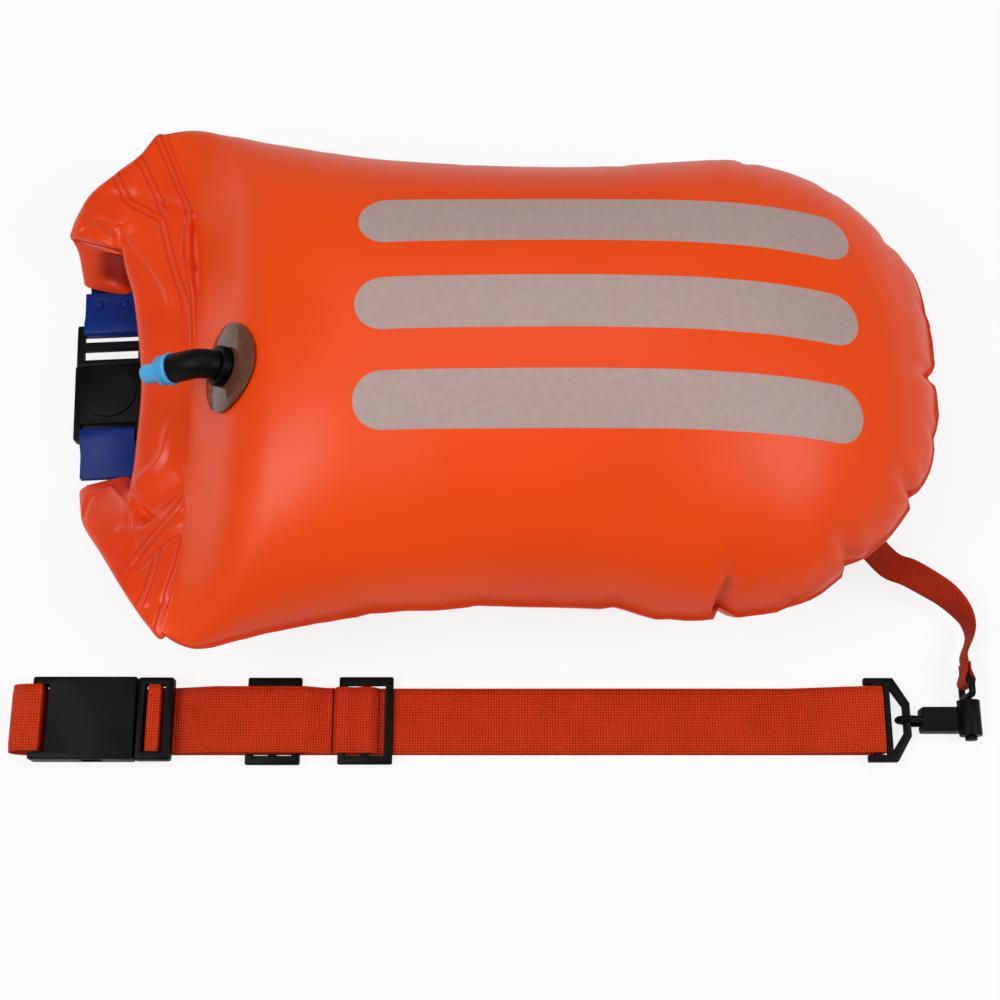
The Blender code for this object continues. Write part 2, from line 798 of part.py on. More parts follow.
def plug_thickness(sizes):
    """A plug is thin enough to enter its socket's cavity."""
    return sizes[1] - 2 * BUCKLE_WALL - 2 * GAP


def plug_slots(length):
    """The two slots of a plug's ladder frame, on both sides of its centre bar."""
    end = length - BUCKLE_BAR
    bar = FRAME_LAND + (end - FRAME_LAND) / 2
    half = BUCKLE_BAR / 2
    return (("near_slot", FRAME_LAND, bar - half), ("far_slot", bar + half, end))


def prong(prefix, hand, sizes, look, parent):
    """One sprung prong with its catch, in a frame whose origin is on its bending line."""
    side = 1 if hand == "far" else -1
    outer = sizes[0] / 2 - BUCKLE_WALL - prong_root(sizes) - GAP
    length = sizes[2] * PRONG_SHARE
    latch = length * LATCH_SHARE
    profile = (
        (0.0, outer - PRONG_ARM), (0.0, outer), (-latch, outer),
        (-latch, outer + PRONG_CATCH + GAP), (-latch - PRONG_ARM, outer + PRONG_CATCH + GAP),
        (-length + PRONG_ARM / 2, outer + PRONG_PAD), (-length + GAP, outer),
        (-length + GAP, outer - PRONG_ARM),
    )
    points = [(x - 2 * GAP, y * side) for x, y in profile]
    tall = plug_thickness(sizes) - 2 * GAP
    made = place(f"{prefix}_prong_{hand}", outline_mesh("prong", points, tall), look, parent)
    bevel(made, EDGE / 2, 1)
    return made


def prong_root(sizes):
    """How far from the middle a prong's bending line lies."""
    return sizes[0] / 2 - BUCKLE_WALL - GAP - PRONG_ARM / 2


def buckle(prefix, sizes, look, frame, faced):
    """A side release buckle in its own frame; the socket slides off along its -X."""
    seat = empty(prefix + "_seat", frame)
    plug_half(prefix, sizes, look, seat)
    slide = empty(prefix + "_release", Matrix(), seat)
    socket_half(prefix, sizes, look, slide, faced)
    for hand, side in (("far", 1), ("near", -1)):
        bend = empty(
            f"{prefix}_bend_{hand}", Matrix.Translation((0, side * prong_root(sizes), 0)), seat
        )
        prong(prefix, hand, sizes, look, bend)
    return seat


def glide(name, x, z, look):
    """A tri-glide: a rectangular frame with a centre bar."""
    long, wide, thick = GLIDE
    seat = empty(name + "_travel", Matrix.Translation((x, BELT_Y, z)))
    made = place(name, box_mesh(name, (long, wide, thick), (0, 0, 0)), look, seat)
    bevel(made, EDGE * 1.5)
    slot = (long - 3 * GLIDE_BAR) / 2
    for i, side in enumerate((-1, 1)):
        centre = side * (GLIDE_BAR + slot) / 2
        cut(made, box_mesh(
            f"slot_{i}", (slot, wide - 2 * GLIDE_RAIL, thick + 2 * CUT_OVERRUN), (centre, 0, 0),
        ), seat)
    return seat


def arc(centre, radius, start, end, steps):
    """Points in X and Z on an arc, angles in degrees."""
    return [
        (
            centre[0] + radius * math.cos(math.radians(start + (end - start) * i / steps)),
            centre[1] + radius * math.sin(math.radians(start + (end - start) * i / steps)),
        )
        for i in range(steps + 1)
    ]


def webbing(name, profile, look, parent=None, y=BELT_Y, width=WEB_WIDTH):
    """Belt webbing that follows a profile in X and Z."""
    points = [Vector((x, y, z)) for x, z in profile]
    sides = [Vector((0, width / 2, 0))] * len(points)
    return ribbon(name, points, sides, WEB_THICK, look, parent)


def belt(look):
    """The belt's webbing: one long run from the plug round the ring and back below."""
    (_, _, near_high), (_, far_low, _) = plug_slots(BELT_BUCKLE[3])
    plug_end = BELT_MOUTH_X + BELT_BUCKLE[3]
    left = BELT_MOUTH_X + near_high - WEB_WRAP
    right = BELT_MOUTH_X + far_low + WEB_WRAP
    top = BELT_BUCKLE_Z + plug_thickness(BELT_BUCKLE) / 2 + WEB_WRAP
    bend = WEB_WRAP
    glide_half = GLIDE[0] / 2 + 2 * WEB_WRAP
    over_start = LOWER_GLIDE_X - glide_half - LOWER_GLIDE_TRAVEL
    over_end = LOWER_GLIDE_X + glide_half
    upper = PLY_OVER + PLY_PITCH
    join = UPPER_GLIDE_X - glide_half - WEB_WRAP - GAP
    profile = [
        (join, PLY_HIGH), (over_end + PLY_SLOPE, PLY_HIGH),
        (over_end + GAP, upper), (over_start - GAP, upper),
        (plug_end + bend, PLY_HIGH), (right + 2 * bend, PLY_HIGH),
    ]
    profile += arc((right + bend, PLY_HIGH + bend), bend, 270, 180, 3)
    profile += arc((right - bend, top - bend), bend, 0, 90, 3)
    profile += arc((left + bend, top - bend), bend, 90, 180, 3)
    profile += arc((left + bend, PLY_MID + bend), bend, 180, 270, 3)
    ring_high = RING_Z + RING_THICK / 2 + WEB_WRAP
    turn = ring_high - RING_THICK - PLY_LOW
    outer = RING_X + RING_BAR / 2 + WEB_WRAP
    profile += [
        (plug_end + bend, PLY_MID), (over_start, PLY_OVER), (over_end, PLY_OVER),
        (over_end + PLY_SLOPE, PLY_MID), (RING_X - 2 * RING_HALF, PLY_MID),
        (RING_X - RING_BAR / 2 - WEB_WRAP, ring_high),
    ]
    profile += arc((outer - bend, ring_high - bend), bend, 90, 0, 3)
    profile += arc((outer - turn, PLY_LOW + turn), turn, 0, -90, 4)
    profile += [(RING_X - 2 * RING_HALF, PLY_LOW), (BELT_MOUTH_X, PLY_LOW)]
    return webbing("belt_webbing", profile, look)


def socket_loop(look, parent):
    """The belt's end that turns round the socket's strap bar, in the socket's frame."""
    length, thick = BELT_BUCKLE[2], BELT_BUCKLE[1]
    slot_x = -length + BUCKLE_BAR + WEB_WRAP
    low = PLY_LOW - BELT_BUCKLE_Z
    high = thick / 2 + WEB_WRAP
    bend = WEB_WRAP
    turn = (high - EDGE - low) / 2
    far = -length - LOOP_REACH + turn
    profile = [(-GAP, low), (far, low)]
    profile += arc((far, low + turn), turn, 270, 90, 8)[1:]
    profile += [(-length - WEB_WRAP, high)]
    profile += arc((slot_x - bend, high - bend), bend, 90, 0, 3)
    profile += arc((slot_x - bend, bend - high), bend, 0, -90, 3)
    profile += [(-length - BUCKLE_BAR, -high)]
    points = [Vector((x, 0, z)) for x, z in profile]
    sides = [Vector((0, WEB_WIDTH / 2, 0))] * len(points)
    return ribbon("belt_socket_loop", points, sides, WEB_THICK, look, parent)


def glide_webbing(name, look, parent, low):
    """The short run over a tri-glide's bars, in the glide's frame, with its tails at low."""
    high = GLIDE[2] / 2 + WEB_WRAP
    half = GLIDE[0] / 2
    slot = (GLIDE[0] - 3 * GLIDE_BAR) / 2
    dip = (GLIDE_BAR + slot) / 2
    outside = half + 2 * WEB_WRAP
    profile = [
        (-outside - WEB_WRAP, low), (-outside, low), (-half - WEB_WRAP, high - WEB_WRAP),
        (-half, high),
        (-half + GLIDE_BAR, high), (-dip, WEB_WRAP), (-GLIDE_BAR / 2, high),
        (GLIDE_BAR / 2, high), (GLIDE_BAR / 2 + WEB_WRAP + EDGE, high - WEB_WRAP), (dip, low),
    ]
    points = [Vector((x, 0, z)) for x, z in profile]
    sides = [Vector((0, WEB_WIDTH / 2, 0))] * len(points)
    return ribbon(name, points, sides, WEB_THICK, look, parent)


def belt_ring(look):
    """The belt's ring: arms beside the webbing, a rear bar in its loop and a pointed window."""
    bar = RING_BAR / 2
    window = bar + RING_SLOT + RING_MIDDLE_BAR
    front = window + RING_WINDOW
    arm = RING_HALF - RING_ARM
    outer = [
        (-RING_TAIL, -RING_HALF), (RING_SHOULDER, -RING_HALF),
        (front + RING_BAR, -RING_NOSE_HALF), (front + RING_BAR, RING_NOSE_HALF),
        (RING_SHOULDER, RING_HALF), (-RING_TAIL, RING_HALF), (-RING_TAIL, arm),
        (-bar, arm), (-bar, -arm), (-RING_TAIL, -arm),
    ]
    seat = empty("ring_seat", Matrix.Translation((RING_X, BELT_Y, RING_Z)))
    made = place("belt_ring", outline_mesh("belt_ring", outer, RING_THICK), look, seat)
    bevel(made, EDGE)
    tall = RING_THICK + 2 * CUT_OVERRUN
    cut(made, box_mesh("slot", (RING_SLOT, 2 * arm, tall), (bar + RING_SLOT / 2, 0, 0)), seat)
    nose = RING_NOSE_HALF - RING_ARM / 2
    shoulder = arm - RING_ARM / 2
    hole = [(window, -shoulder), (front, -nose), (front, nose), (window, shoulder)]
    cut(made, outline_mesh("window", hole, tall), seat)
    return made


def front_bar_x():
    """The middle of the ring's front bar, which the snap hook holds."""
    return RING_X + RING_BAR + RING_SLOT + RING_MIDDLE_BAR + RING_WINDOW


def snap_hook(look):
    """The snap hook: a bow round the ring's front bar, a shaft, a gate and a barrel."""
    long, wide, tall = HOOK_SHAFT
    swing = empty("hook_swing", Matrix.Translation((front_bar_x(), BELT_Y, RING_Z)))
    back = Matrix.Translation((0, 0, -RING_Z))
    start = HOOK_SHAFT_X - front_bar_x()
    made = place("hook_body", box_mesh(
        "hook", (long, wide, tall), (start + long / 2, 0, tall / 2 + GAP),
    ), look, swing, back)
    bevel(made, EDGE * 2)
    add(made, tube_mesh("bow", path_rings(bow_points(), HOOK_WIRE, 10, Vector((0, 1, 0)))),
        swing, back)
    barrel_x = BARREL_X - front_bar_x()
    half = BARREL_LENGTH / 2
    add(made, rod_mesh(
        "barrel", (barrel_x, -half, EYE_Z), (barrel_x, half, EYE_Z), BARREL_RADIUS, 20,
    ), swing, back)
    cut(made, rod_mesh(
        "stem_bore", (barrel_x, -half - CUT_OVERRUN, EYE_Z), (barrel_x, half + CUT_OVERRUN, EYE_Z),
        STEM_RADIUS + STEM_ROOM, 16,
    ), swing, back)
    pivot_x = start + GATE[2] * 3
    pocket = GATE[2] + GATE_ROOM + 2 * GAP
    cut(made, box_mesh(
        "gate_pocket", (2 * GATE[2] * 3 + GATE[2], GATE[1] + 2 * GAP, pocket),
        (start + GATE[2] / 2, 0, pocket / 2),
    ), swing, back)
    hinge = empty("gate_bend", Matrix.Translation((pivot_x, 0, GATE[2] - RING_Z)), swing)
    gate = place("hook_gate", box_mesh("gate", GATE, (-GATE[0] / 2, 0, 0)), look, hinge)
    bevel(gate, EDGE / 2, 1)
    return made


def bow_points():
    """The bow's centre line, with the bar it goes round at X = 0."""
    reach = math.hypot(RING_BAR, RING_THICK) / 2 + HOOK_WIRE + HOOK_ROOM - GAP
    start = HOOK_SHAFT_X - front_bar_x()
    points = [Vector((start + HOOK_WIRE, 0, HOOK_SHAFT[2] - HOOK_WIRE))]
    points += [
        Vector((reach * math.cos(math.radians(a)), 0, RING_Z + reach * math.sin(math.radians(a))))
        for a in range(75, 271, 15)
    ]
    return points


def coil(name, start, end, radius, wire, turns, look, parent, frame):
    """A compression spring along X, one unbroken wire."""
    steps = turns * 8
    points = []
    for i in range(steps + 1):
        turn = 2 * math.pi * i / 8
        points.append(Vector((
            start + (end - start) * i / steps,
            radius * math.cos(turn),
            radius * math.sin(turn),
        )))
    rings = path_rings(points, wire, 5, Vector((1, 0, 0)))
    return place(name, tube_mesh(name, rings), look, parent, frame)


def swivel_eye(look):
    """The eye that turns in the hook's barrel: a headed stem and a closed square loop."""
    seat = empty("eye_turn", Matrix.Translation((
        BARREL_X - front_bar_x(), 0, EYE_Z - RING_Z,
    )), bpy.data.objects["hook_swing"])
    half = BARREL_LENGTH / 2
    start = half + GAP
    made = place("swivel_eye", rod_mesh(
        "stem", (0, -half - GAP - STEM_HEAD_THICK / 2, 0), (0, start + EYE_WIRE, 0),
        STEM_RADIUS, 16,
    ), look, seat)
    add(made, rod_mesh(
        "head", (0, -half - GAP - STEM_HEAD_THICK, 0), (0, -half - GAP, 0), STEM_HEAD, 16,
    ), seat)
    loop = square_loop(start + EYE_WIRE, start + EYE_DEPTH - EYE_WIRE, EYE_HEIGHT / 2 - EYE_WIRE,
                       Vector((0, 1, 0)), Vector((0, 0, 1)))
    add(made, closed_wire("loop", loop, EYE_WIRE, Vector((1, 0, 0))), seat)
    return seat


def square_loop(low, high, half, along, across):
    """A rectangle with cut corners between two places along one axis."""
    cut_off = CORNER_CUT
    flat = (
        (low, half - cut_off), (low + cut_off, half), (high - cut_off, half),
        (high, half - cut_off), (high, cut_off - half), (high - cut_off, -half),
        (low + cut_off, -half), (low, cut_off - half),
    )
    return [along * x + across * y for x, y in flat]


def closed_wire(name, loop, radius, side):
    """A wire round a closed flat loop; side is square to the loop."""
    rings = []
    for i, point in enumerate(loop):
        run = (loop[(i + 1) % len(loop)] - point).normalized()
        run += (point - loop[i - 1]).normalized()
        rings.append(circle(point, side, side.cross(run).normalized(), radius, 8))
    bm = bmesh.new()
    join_rings(bm, [[bm.verts.new(p) for p in ring] for ring in rings], closed=True)
    return mesh_of(bm, name)


def strap_loop(name, far, turn, look, parent, along, across, normal):
    """A strap's sewn end round a bar at far, closing to two plies side by side."""
    near = WEB_THICK / 2 + GAP
    flat = [(far + TETHER_LOOP, -near), (far + 2 * turn, -near)]
    flat += arc((far, 0), turn, 300, 60, 8)
    flat += [(far + 2 * turn, near), (far + TETHER_LOOP, near)]
    points = [along * x + normal * z for x, z in flat]
    sides = [across * TETHER_WIDTH / 2] * len(points)
    return ribbon(name, points, sides, WEB_THICK, look, parent)


def eye_loop(look, parent):
    """The tether's sewn end round the eye's outer bar, in the eye's frame."""
    bar = BARREL_LENGTH / 2 + GAP + EYE_DEPTH - EYE_WIRE
    return strap_loop("tether_eye_loop", bar, EYE_WIRE + WEB_WRAP, look, parent,
                      Vector((0, 1, 0)), Vector((0, 0, 1)), Vector((1, 0, 0)))


def anchor_frame():
    """The dee's frame: origin on its rear bar, X towards the tether, Z away from the skin."""
    angle = math.asin(ANCHOR_Y_SHARE)
    seat = chamber_point(ANCHOR_X_SHARE, angle, -1)
    normal = skin_normal(ANCHOR_X_SHARE, angle, -1)
    along = Vector(TETHER_POINTS[0]) - seat
    along = (along - normal * along.dot(normal)).normalized()
    across = normal.cross(along)
    frame = Matrix.Translation(seat + normal * (SKIN + 2 * GAP + ANCHOR_THICK + DEE_DROP))
    for i, axis in enumerate((along, across, normal)):
        for j in range(3):
            frame[j][i] = axis[j]
    return frame


def anchor(look, web_look, black):
    """The welded patch under the bag with its lug, and the ring that the lug holds."""
    skin_patch("anchor_patch", ANCHOR_X_SHARE, math.asin(ANCHOR_Y_SHARE), -1, ANCHOR_RADIUS,
               ANCHOR_THICK, 0, look, None)
    frame = anchor_frame()
    pivot = empty("dee_turn", frame)
    x, y, z = Vector((1, 0, 0)), Vector((0, 1, 0)), Vector((0, 0, 1))
    loop = square_loop(0, DEE_DEPTH, DEE_HALF, x, y)
    place("dee_ring", closed_wire("dee_ring", loop, DEE_WIRE, z), black, pivot)
    lug(web_look, frame)
    strap_loop("tether_dee_loop", DEE_DEPTH, DEE_WIRE + WEB_WRAP, web_look, pivot, x, y, z)
    return pivot


def lug(look, frame):
    """The short webbing lug sewn to the patch, round the dee's rear bar."""
    turn = DEE_WIRE + WEB_WRAP
    back = WEB_WRAP - DEE_DROP
    flat = [(-LUG_TAIL, back), (-2 * turn, back)]
    flat += arc((0, 0), turn, 215, -90, 8)
    seat = empty("lug_seat", frame)
    points = [Vector((x, 0, z)) for x, z in flat]
    sides = [Vector((0, TETHER_WIDTH / 2, 0))] * len(points)
    return ribbon("anchor_lug", points, sides, WEB_THICK, look, seat)


def tether(look):
    """The free tether, a flat strap that turns from the skin's slope to standing on edge."""
    frame = anchor_frame()
    start = DEE_DEPTH + TETHER_LOOP + GAP
    lead = [frame @ Vector((start + TETHER_LOOP * i, 0, 0)) for i in (0, 1)]
    end_y = BELT_Y + BARREL_LENGTH / 2 + GAP + EYE_DEPTH - EYE_WIRE + TETHER_LOOP + GAP
    tail = [Vector((BARREL_X, end_y + TETHER_LOOP * i, EYE_Z)) for i in (0.5, 0)]
    points = lead + [Vector(p) for p in TETHER_POINTS] + tail
    across = Vector((frame[0][1], frame[1][1], frame[2][1]))
    across = across if across.z > 0 else -across
    sides = []
    for i, turn in enumerate(TETHER_TURN_SHARES):
        run = points[min(i + 1, len(points) - 1)] - points[max(i - 1, 0)]
        run.normalize()
        side = across * (1 - turn) + Vector((0, 0, 1)) * turn
        side = (side - run * side.dot(run)).normalized()
        sides.append(side * TETHER_WIDTH / 2)
    return ribbon("tether", points, sides, WEB_THICK, look, None)


def valve_angle():
    """Where the valve sits round the chamber's section."""
    return math.asin((VALVE_Y - CHAMBER_CENTRE_Y) / half_width(VALVE_X_SHARE))


def valve_frame():
    """The valve's frame: origin on the skin, Z along its normal, X down towards the mouth."""
    seat = chamber_point(VALVE_X_SHARE, valve_angle(), 1)
    normal = skin_normal(VALVE_X_SHARE, valve_angle(), 1)
    along = Vector((-normal.z, 0, normal.x)).normalized()
    across = normal.cross(along)
    frame = Matrix.Translation(seat)
    for i, axis in enumerate((along, across, normal)):
        for j in range(3):
            frame[j][i] = axis[j]
    return frame


def valve(smoke, black, blue, steel, upper):
    """The oral valve: a welded disc, a base ring and a swivelling elbow."""
    hole = VALVE_BOSS_RADIUS + GAP
    skin_patch("valve_disc", VALVE_X_SHARE, valve_angle(), 1, VALVE_DISC_RADIUS,
               VALVE_DISC_THICK, hole + GAP, smoke, None)
    seat = empty("valve_seat", valve_frame())
    cut(upper, rod_mesh(
        "valve_hole", (0, 0, -VALVE_BOSS_DEPTH), (0, 0, VALVE_BOSS_DEPTH), hole, 24,
    ), seat)
    base = SKIN + 2 * GAP + VALVE_DISC_THICK + GAP
    top = base + VALVE_RING_HEIGHT
    bore = ELBOW_SPIGOT + 2 * GAP
    turned("valve_base", [
        (bore, top), (VALVE_RING_RADIUS, top), (VALVE_RING_RADIUS, base),
        (VALVE_BOSS_RADIUS, base), (VALVE_BOSS_RADIUS, -VALVE_BOSS_DEPTH),
        (bore, -VALVE_BOSS_DEPTH),
    ], black, seat)
    elbow(black, blue, steel, seat, top)


def elbow_path(top):
    """The elbow's centre line in the valve's frame, and its final direction."""
    lean = math.radians(ELBOW_ANGLE)
    points = [Vector((0, 0, top + GAP))]
    for i in range(6):
        turn = lean * i / 5
        points.append(Vector((
            ELBOW_BEND * (1 - math.cos(turn)), 0, top + EDGE * 2 + ELBOW_BEND * math.sin(turn),
        )))
    run = Vector((math.sin(lean), 0, math.cos(lean)))
    points.append(points[-1] + run * ELBOW_RUN)
    return points, run


def elbow(black, blue, steel, parent, top):
    """The elbow with its mouthpiece, collar, poppet and spring."""
    turn = empty("elbow_turn", Matrix(), parent)
    points, run = elbow_path(top)
    across = Vector((0, 1, 0))
    made = place("valve_elbow", tube_mesh(
        "valve_elbow", path_rings(points, ELBOW_RADIUS, 16, across),
        path_rings(points, ELBOW_BORE, 16, across),
    ), black, turn)
    add(made, pipe_mesh(
        "spigot", -VALVE_BOSS_DEPTH, top + 2 * EDGE, ELBOW_SPIGOT, ELBOW_BORE - GAP,
    ), turn)
    frame = Matrix.Translation(points[-1])
    for i, axis in enumerate((across.cross(run), across, run)):
        for j in range(3):
            frame[j][i] = axis[j]
    mouth = empty("mouth_seat", frame, turn)
    collar(blue, empty("collar_turn", Matrix(), mouth))
    push = empty("tip_travel", Matrix(), mouth)
    flange = tip(blue, push)
    turned("check_poppet", [
        (0, -POPPET_DEPTH), (POPPET_RADIUS, -POPPET_DEPTH),
        (POPPET_RADIUS, -POPPET_DEPTH - POPPET_THICK), (0, -POPPET_DEPTH - POPPET_THICK),
    ], steel, push, sides=16)
    wire = VALVE_SPRING_WIRE
    coil("valve_spring", GAP + wire, flange - GAP - wire, TIP_STEM + 2 * GAP + wire,
         wire, VALVE_SPRING_TURNS, steel, mouth, Matrix.Rotation(math.radians(-90), 4, "Y"))
    return made


def pipe_mesh(name, low, high, radius, bore, sides=24):
    rings = []
    bores = []
    x, y = Vector((1, 0, 0)), Vector((0, 1, 0))
    for z in (low, high):
        rings.append(circle(Vector((0, 0, z)), x, y, radius, sides))
        bores.append(circle(Vector((0, 0, z)), x, y, bore, sides))
    return tube_mesh(name, rings, bores)


def collar(look, parent):
    """The ribbed lock collar that turns on the elbow's end, hollow for the spring."""
    rings = []
    bores = []
    x, y = Vector((1, 0, 0)), Vector((0, 1, 0))
    sides = COLLAR_RIBS * 2
    cap = COLLAR_LENGTH - COLLAR_CAP
    levels = (
        (GAP, TIP_FLANGE), (cap, TIP_FLANGE), (cap + GAP, TIP_RADIUS), (COLLAR_LENGTH, TIP_RADIUS),
    )
    for z, inside in levels:
        centre = Vector((0, 0, z))
        ring = []
        for i in range(sides):
            turn = 2 * math.pi * i / sides
            radius = COLLAR_RADIUS - (EDGE if i % 2 else 0)
            ring.append(centre + x * radius * math.cos(turn) + y * radius * math.sin(turn))
        rings.append(ring)
        bores.append(circle(centre, x, y, inside + 2 * GAP, sides))
    return place("lock_collar", tube_mesh("lock_collar", rings, bores), look, parent)


def tip(look, parent):
    """The mouthpiece: a bored tip with a flange inside the collar and a stem in the elbow."""
    end = COLLAR_LENGTH + TIP_LENGTH
    high = COLLAR_LENGTH - COLLAR_CAP - GAP
    low = high - TIP_FLANGE_THICK
    turned("mouthpiece", [
        (TIP_BORE, end), (TIP_END_RADIUS, end), (TIP_RADIUS, end - 2 * EDGE), (TIP_RADIUS, high),
        (TIP_FLANGE, high), (TIP_FLANGE, low), (TIP_STEM, low), (TIP_STEM, GAP - POPPET_DEPTH),
        (TIP_BORE, GAP - POPPET_DEPTH),
    ], look, parent)
    return low


def closure_tabs(blue, frame):
    """The tabs from the roll's ends round the buckle's bars, and the rivets in one of them."""
    plug_bar, socket_bar = ROLL_BUCKLE[3], ROLL_BUCKLE[2]
    half = plug_thickness(ROLL_BUCKLE) / 2
    made = tab("plug_tab", frame, 1, plug_bar, half, PLUG_TAB_TAIL, blue)
    cut_rivet_holes(made, frame)
    tab("socket_tab", frame, -1, socket_bar, ROLL_BUCKLE[1] / 2, SOCKET_TAB_TAIL, blue)
    high = tab_spread() + TAB_THICK / 2 + GAP
    for name, side in (("tab_rivet_inner", -1), ("tab_rivet_outer", 1)):
        seat = empty(name + "_seat", frame @ Matrix.Translation((rivet_x(), side * RIVET_SPREAD, 0)))
        turned(name, [
            (0, high + RIVET_HEAD), (RIVET_SHANK, high + RIVET_HEAD), (RIVET_RADIUS, high),
            (RIVET_SHANK, high), (RIVET_SHANK, -high), (RIVET_RADIUS, -high),
            (RIVET_SHANK, -high - RIVET_HEAD), (0, -high - RIVET_HEAD),
        ], blue, seat, sides=12)


def tab_spread():
    """How far a tab's two plies lie from its middle where they hold the closure strip."""
    return STRIP_THICK / 2 + GAP + TAB_THICK / 2


def tab(name, frame, end, bar, half, length, look):
    """A tab folded round a buckle bar, in the buckle's frame, its plies over the strip."""
    wrap = TAB_THICK / 2 + GAP
    high = half + wrap
    bend = wrap + EDGE
    inner = bar - BUCKLE_BAR - wrap - EDGE
    spread = tab_spread()
    tail = bar + length
    sewn = tail - FAR_STRIP_TAIL - EDGE
    flat = [(tail, spread), (sewn, spread), (bar + wrap, high)]
    flat += arc((inner + bend, high - bend), bend, 90, 180, 3)
    flat += arc((inner + bend, bend - high), bend, 180, 270, 3)
    flat += [(bar + wrap, -high), (sewn, -spread), (tail, -spread)]
    seat = empty(name + "_seat", frame)
    points = [Vector((x * end, 0, z)) for x, z in flat]
    sides = [Vector((0, TAB_WIDTH / 2, 0))] * len(points)
    return ribbon(name, points, sides, TAB_THICK, look, seat)


def roll_buckle_frame():
    """The roll buckle's frame: its plug towards +Y, lying between the roll's two ends."""
    rows = mouth_line()
    near, far = rows[0][0], rows[-1][0]
    along = (far - near).normalized()
    wide = Vector((0, 0, 1)).cross(along).normalized()
    normal = along.cross(wide)
    frame = Matrix.Translation(far - along * (ROLL_BUCKLE[3] + PLUG_TAB_TAIL + FAR_STRIP_TAIL / 3))
    for i, axis in enumerate((along, wide, normal)):
        for j in range(3):
            frame[j][i] = axis[j]
    return frame


for old in list(bpy.data.objects):
    bpy.data.objects.remove(old, do_unlink=True)
PARTS = new_collection("swim_buoy")
CUTTERS = new_collection("cutters")

orange = material("bag_orange", ORANGE, 0.35)
web = material("belt_orange", BELT_ORANGE, 0.8)
black = material("black_plastic", BLACK, 0.35)
blue = material("closure_blue", BLUE, 0.45)
pale = material("mouthpiece_blue", PALE_BLUE, 0.4)
smoke = material("smoked_vinyl", SMOKE, 0.2)
steel = material("spring_steel", STEEL, 0.3, 1.0)

upper = skin("upper_skin", 1, orange, None)
skin("lower_skin", -1, orange, None)
liner("upper_liner", 1, orange, None)
liner("lower_liner", -1, orange, None)
roll_frame = roll_buckle_frame()
rolled_mouth(orange, None)
closure_strip(blue, None, roll_frame)
buckle("roll", ROLL_BUCKLE, black, roll_frame, True)
closure_tabs(blue, roll_frame)

valve(smoke, black, pale, steel, upper)

belt_frame = Matrix.Translation((BELT_MOUTH_X, BELT_Y, BELT_BUCKLE_Z))
buckle("belt", BELT_BUCKLE, black, belt_frame, False)
socket_loop(web, bpy.data.objects["belt_release"])
belt(web)
for name, x, height, low in (
    ("upper_glide", UPPER_GLIDE_X, UPPER_GLIDE_Z, PLY_HIGH),
    ("lower_glide", LOWER_GLIDE_X, LOWER_GLIDE_Z, PLY_MID),
):
    carrier = glide(name, x, height, black)
    glide_webbing(name + "_webbing", web, carrier, low - height)
belt_ring(black)
snap_hook(black)
eye_loop(web, swivel_eye(black))
anchor(orange, web, black)
tether(web)
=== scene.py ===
import bpy
import bmesh
import json
import math
import numpy as np
from mathutils import Matrix, Vector

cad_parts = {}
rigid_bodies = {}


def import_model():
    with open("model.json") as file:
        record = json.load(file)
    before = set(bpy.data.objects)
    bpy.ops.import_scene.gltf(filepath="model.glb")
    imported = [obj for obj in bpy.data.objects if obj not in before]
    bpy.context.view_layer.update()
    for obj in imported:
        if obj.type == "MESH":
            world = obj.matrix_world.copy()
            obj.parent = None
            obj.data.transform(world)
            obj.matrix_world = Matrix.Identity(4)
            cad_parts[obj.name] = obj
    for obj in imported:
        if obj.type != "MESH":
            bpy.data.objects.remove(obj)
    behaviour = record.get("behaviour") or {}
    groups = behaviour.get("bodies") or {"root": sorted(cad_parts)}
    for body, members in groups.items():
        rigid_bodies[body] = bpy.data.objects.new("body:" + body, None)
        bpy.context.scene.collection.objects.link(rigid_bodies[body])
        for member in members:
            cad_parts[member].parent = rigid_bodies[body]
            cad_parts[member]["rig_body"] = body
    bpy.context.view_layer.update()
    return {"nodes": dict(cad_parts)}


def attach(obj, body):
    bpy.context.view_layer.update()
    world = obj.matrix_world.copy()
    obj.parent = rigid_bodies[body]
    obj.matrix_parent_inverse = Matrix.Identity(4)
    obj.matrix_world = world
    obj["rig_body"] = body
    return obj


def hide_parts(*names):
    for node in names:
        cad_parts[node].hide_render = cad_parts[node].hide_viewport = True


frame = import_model()

# The studio: a white table under two soft boxes and a weak overhead light, seen from the
# front and 72 degrees up, as a product photographer sets a glossy inflatable.
stage = bpy.context.scene
stage.view_settings.view_transform = "Standard"
camera = bpy.data.objects.new("camera", bpy.data.cameras.new("camera"))
camera.data.lens = 57.6
camera.data.sensor_width = 36.0
camera.location = (0.0, -0.33466, 0.91119)
CAMERA_TILT = 18.0
camera.rotation_euler = (math.radians(CAMERA_TILT), 0.0, 0.0)
stage.collection.objects.link(camera)
stage.camera = camera


